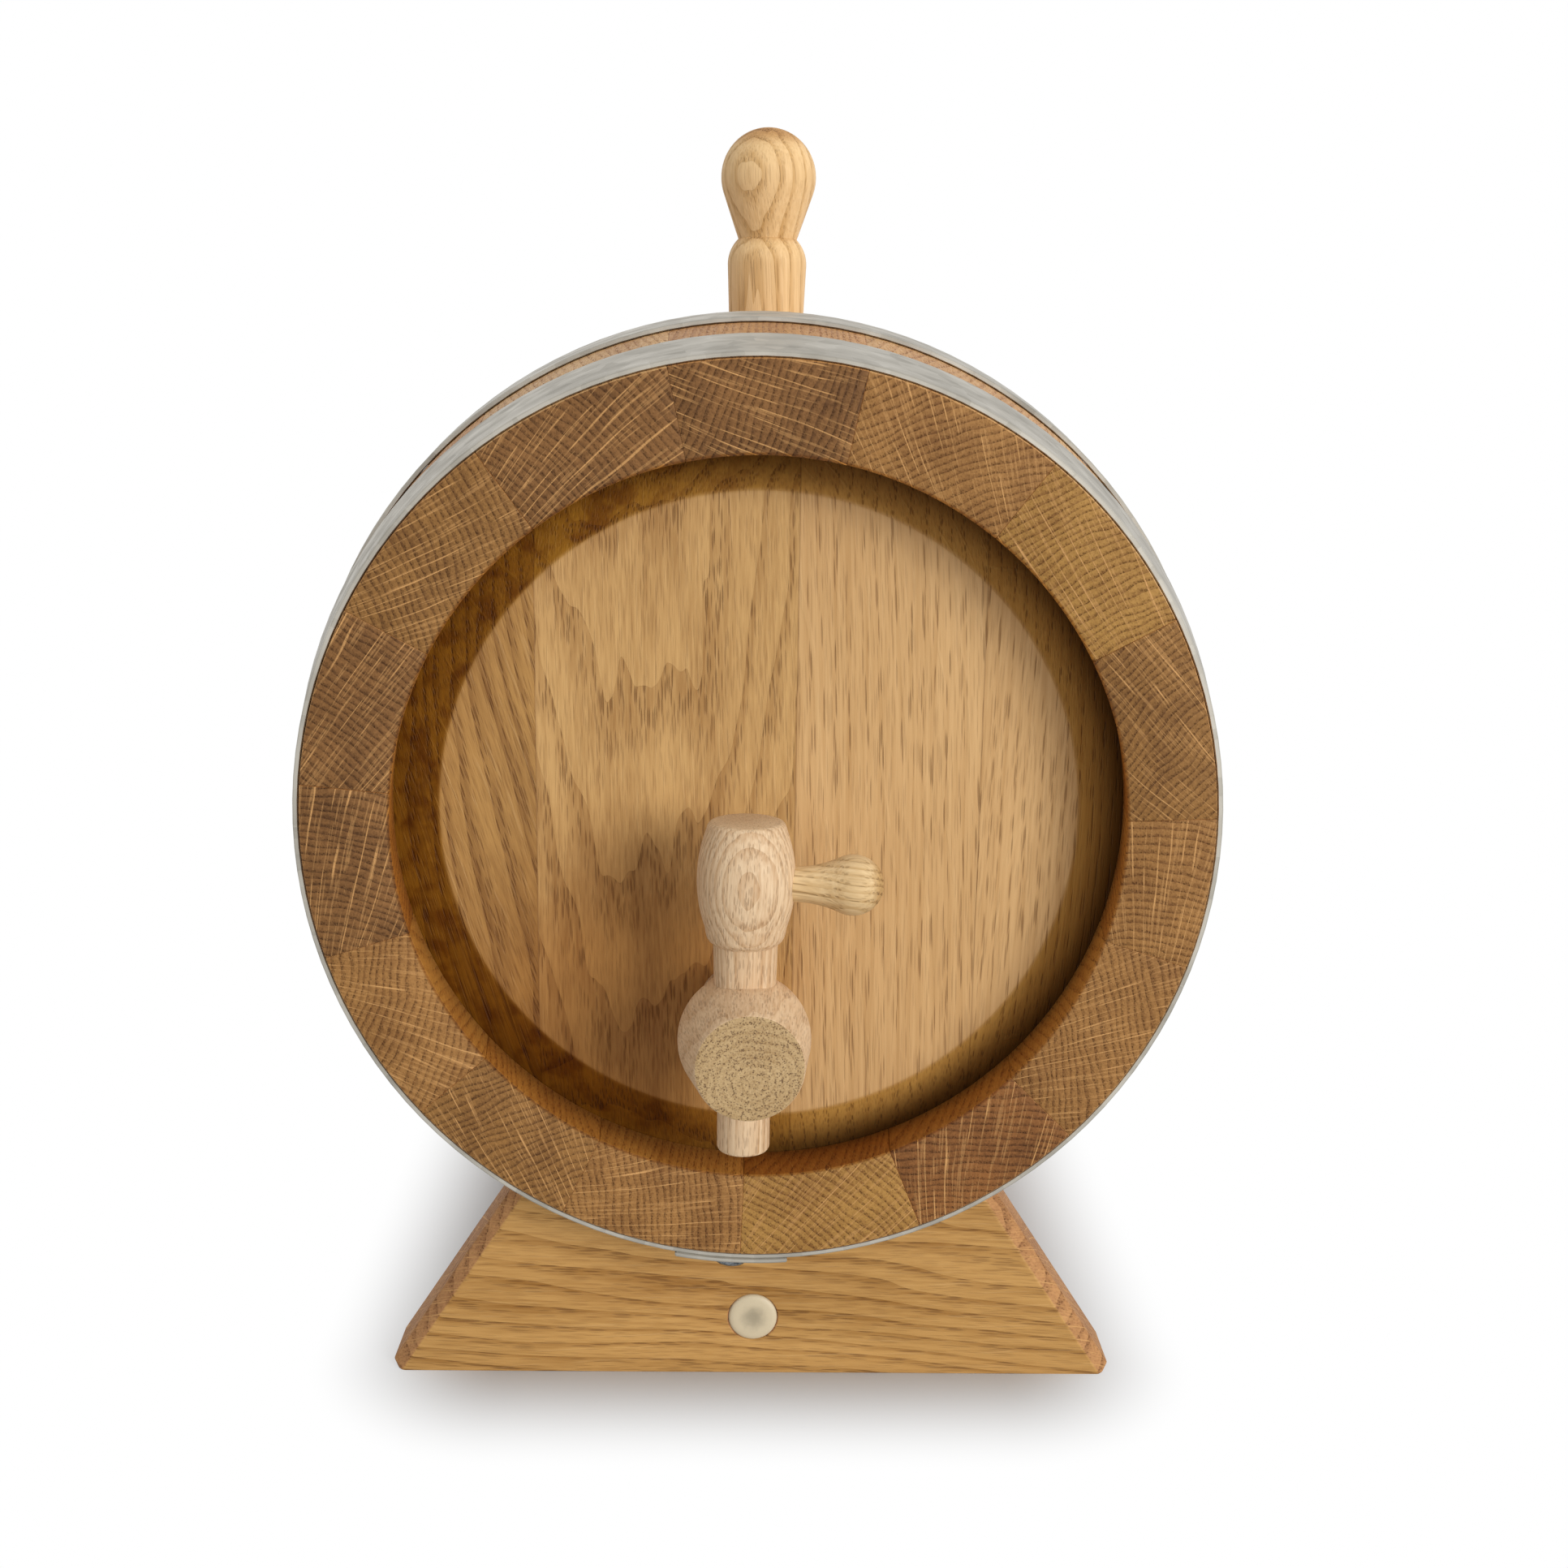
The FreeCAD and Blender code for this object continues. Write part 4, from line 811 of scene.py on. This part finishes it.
def make_floor():
    """A white floor that keeps the shadow near the cradle."""
    bpy.ops.object.select_all(action="DESELECT")
    bpy.ops.mesh.primitive_plane_add(size=12, location=(0, 2, 0))
    floor = bpy.context.object
    floor.name = "studio_floor"
    finish = Finish("floor_white")
    x, y, z = finish.split(finish.measured((0, -2000, 0)))
    colour = finish.blend(finish.noise((x, y, z), 180, 180, 180), paint("c9c9c9"), paint("c4c4c4"))
    finish.done(colour, 0.9)
    beside = finish.total((finish.calc("ABSOLUTE", x), 1.0), (1.0, -SHADOW_HALF_WIDTH))
    beside = finish.calc("MAXIMUM", beside, 0.0)
    beyond = finish.total((finish.calc("ABSOLUTE", y), 1.0), (1.0, -SHADOW_HALF_DEPTH))
    beyond = finish.calc("MAXIMUM", beyond, 0.0)
    away = finish.fade(finish.reach(beside, beyond), *SHADOW_FADE)
    white = finish.calc("MULTIPLY", away, finish.seen())
    glow = finish.add("Emission", {"Color": (1, 1, 1, 1), "Strength": 1.0})
    mixed = finish.add("MixShader", {0: white, 1: finish.shader.outputs[0], 2: glow})
    finish.feed(finish.nodes["Material Output"].inputs["Surface"], mixed)
    floor.data.materials.append(finish.material)


def make_lights():
    """A pale sky that looks white, and a low broad lamp in front, on the right."""
    world = bpy.data.worlds.new("studio_sky")
    bpy.context.scene.world = world
    sky = Mixer(world)
    background = sky.nodes["Background"]
    sky.feed(background.inputs["Strength"], sky.total((sky.seen(), 1 - SKY_LEVEL), (1.0, SKY_LEVEL)))
    background.inputs["Color"].default_value = (1, 1, 1, 1)

    bpy.ops.object.light_add(type="SUN", location=(0.8, -1.2, 1.4))
    lamp = bpy.context.object
    lamp.name = "key_lamp"
    lamp.data.angle = math.radians(LAMP_SPREAD)
    lamp.data.energy = LAMP_LEVEL
    lamp.rotation_euler = Vector((-0.7, 0.8, -0.26)).to_track_quat("-Z", "Y").to_euler()


def make_camera():
    """A camera close in front of the cask, looking down a little at its head."""
    camera = bpy.data.cameras.new("studio_camera")
    camera.lens = 40.57
    camera.sensor_width = 36
    stand = bpy.data.objects.new("studio_camera", camera)
    bpy.context.scene.collection.objects.link(stand)
    stand.location = (-0.0021, -0.49096, 0.2334)
    stand.rotation_euler = Euler((math.pi / 2 - 0.2055, -0.0157, -0.016))
    bpy.context.scene.camera = stand
    bpy.context.scene.view_settings.view_transform = "Standard"


make_staves()
finish_heads()
hoop_steel = galvanised("hoop_zinc", "c0bbb0", "837f76")
rivet_steel = plain_steel("rivet_steel", "7d8184")
make_hoop("chime_hoop", CHIME_HOOP_INSET, hoop_steel, rivet_steel)
make_hoop("quarter_hoop", QUARTER_HOOP_INSET, hoop_steel, rivet_steel)
make_bung()
make_tap()
make_key()
make_lever()
make_cradle()
finish_hidden_pieces()
make_floor()
make_lights()
make_camera()
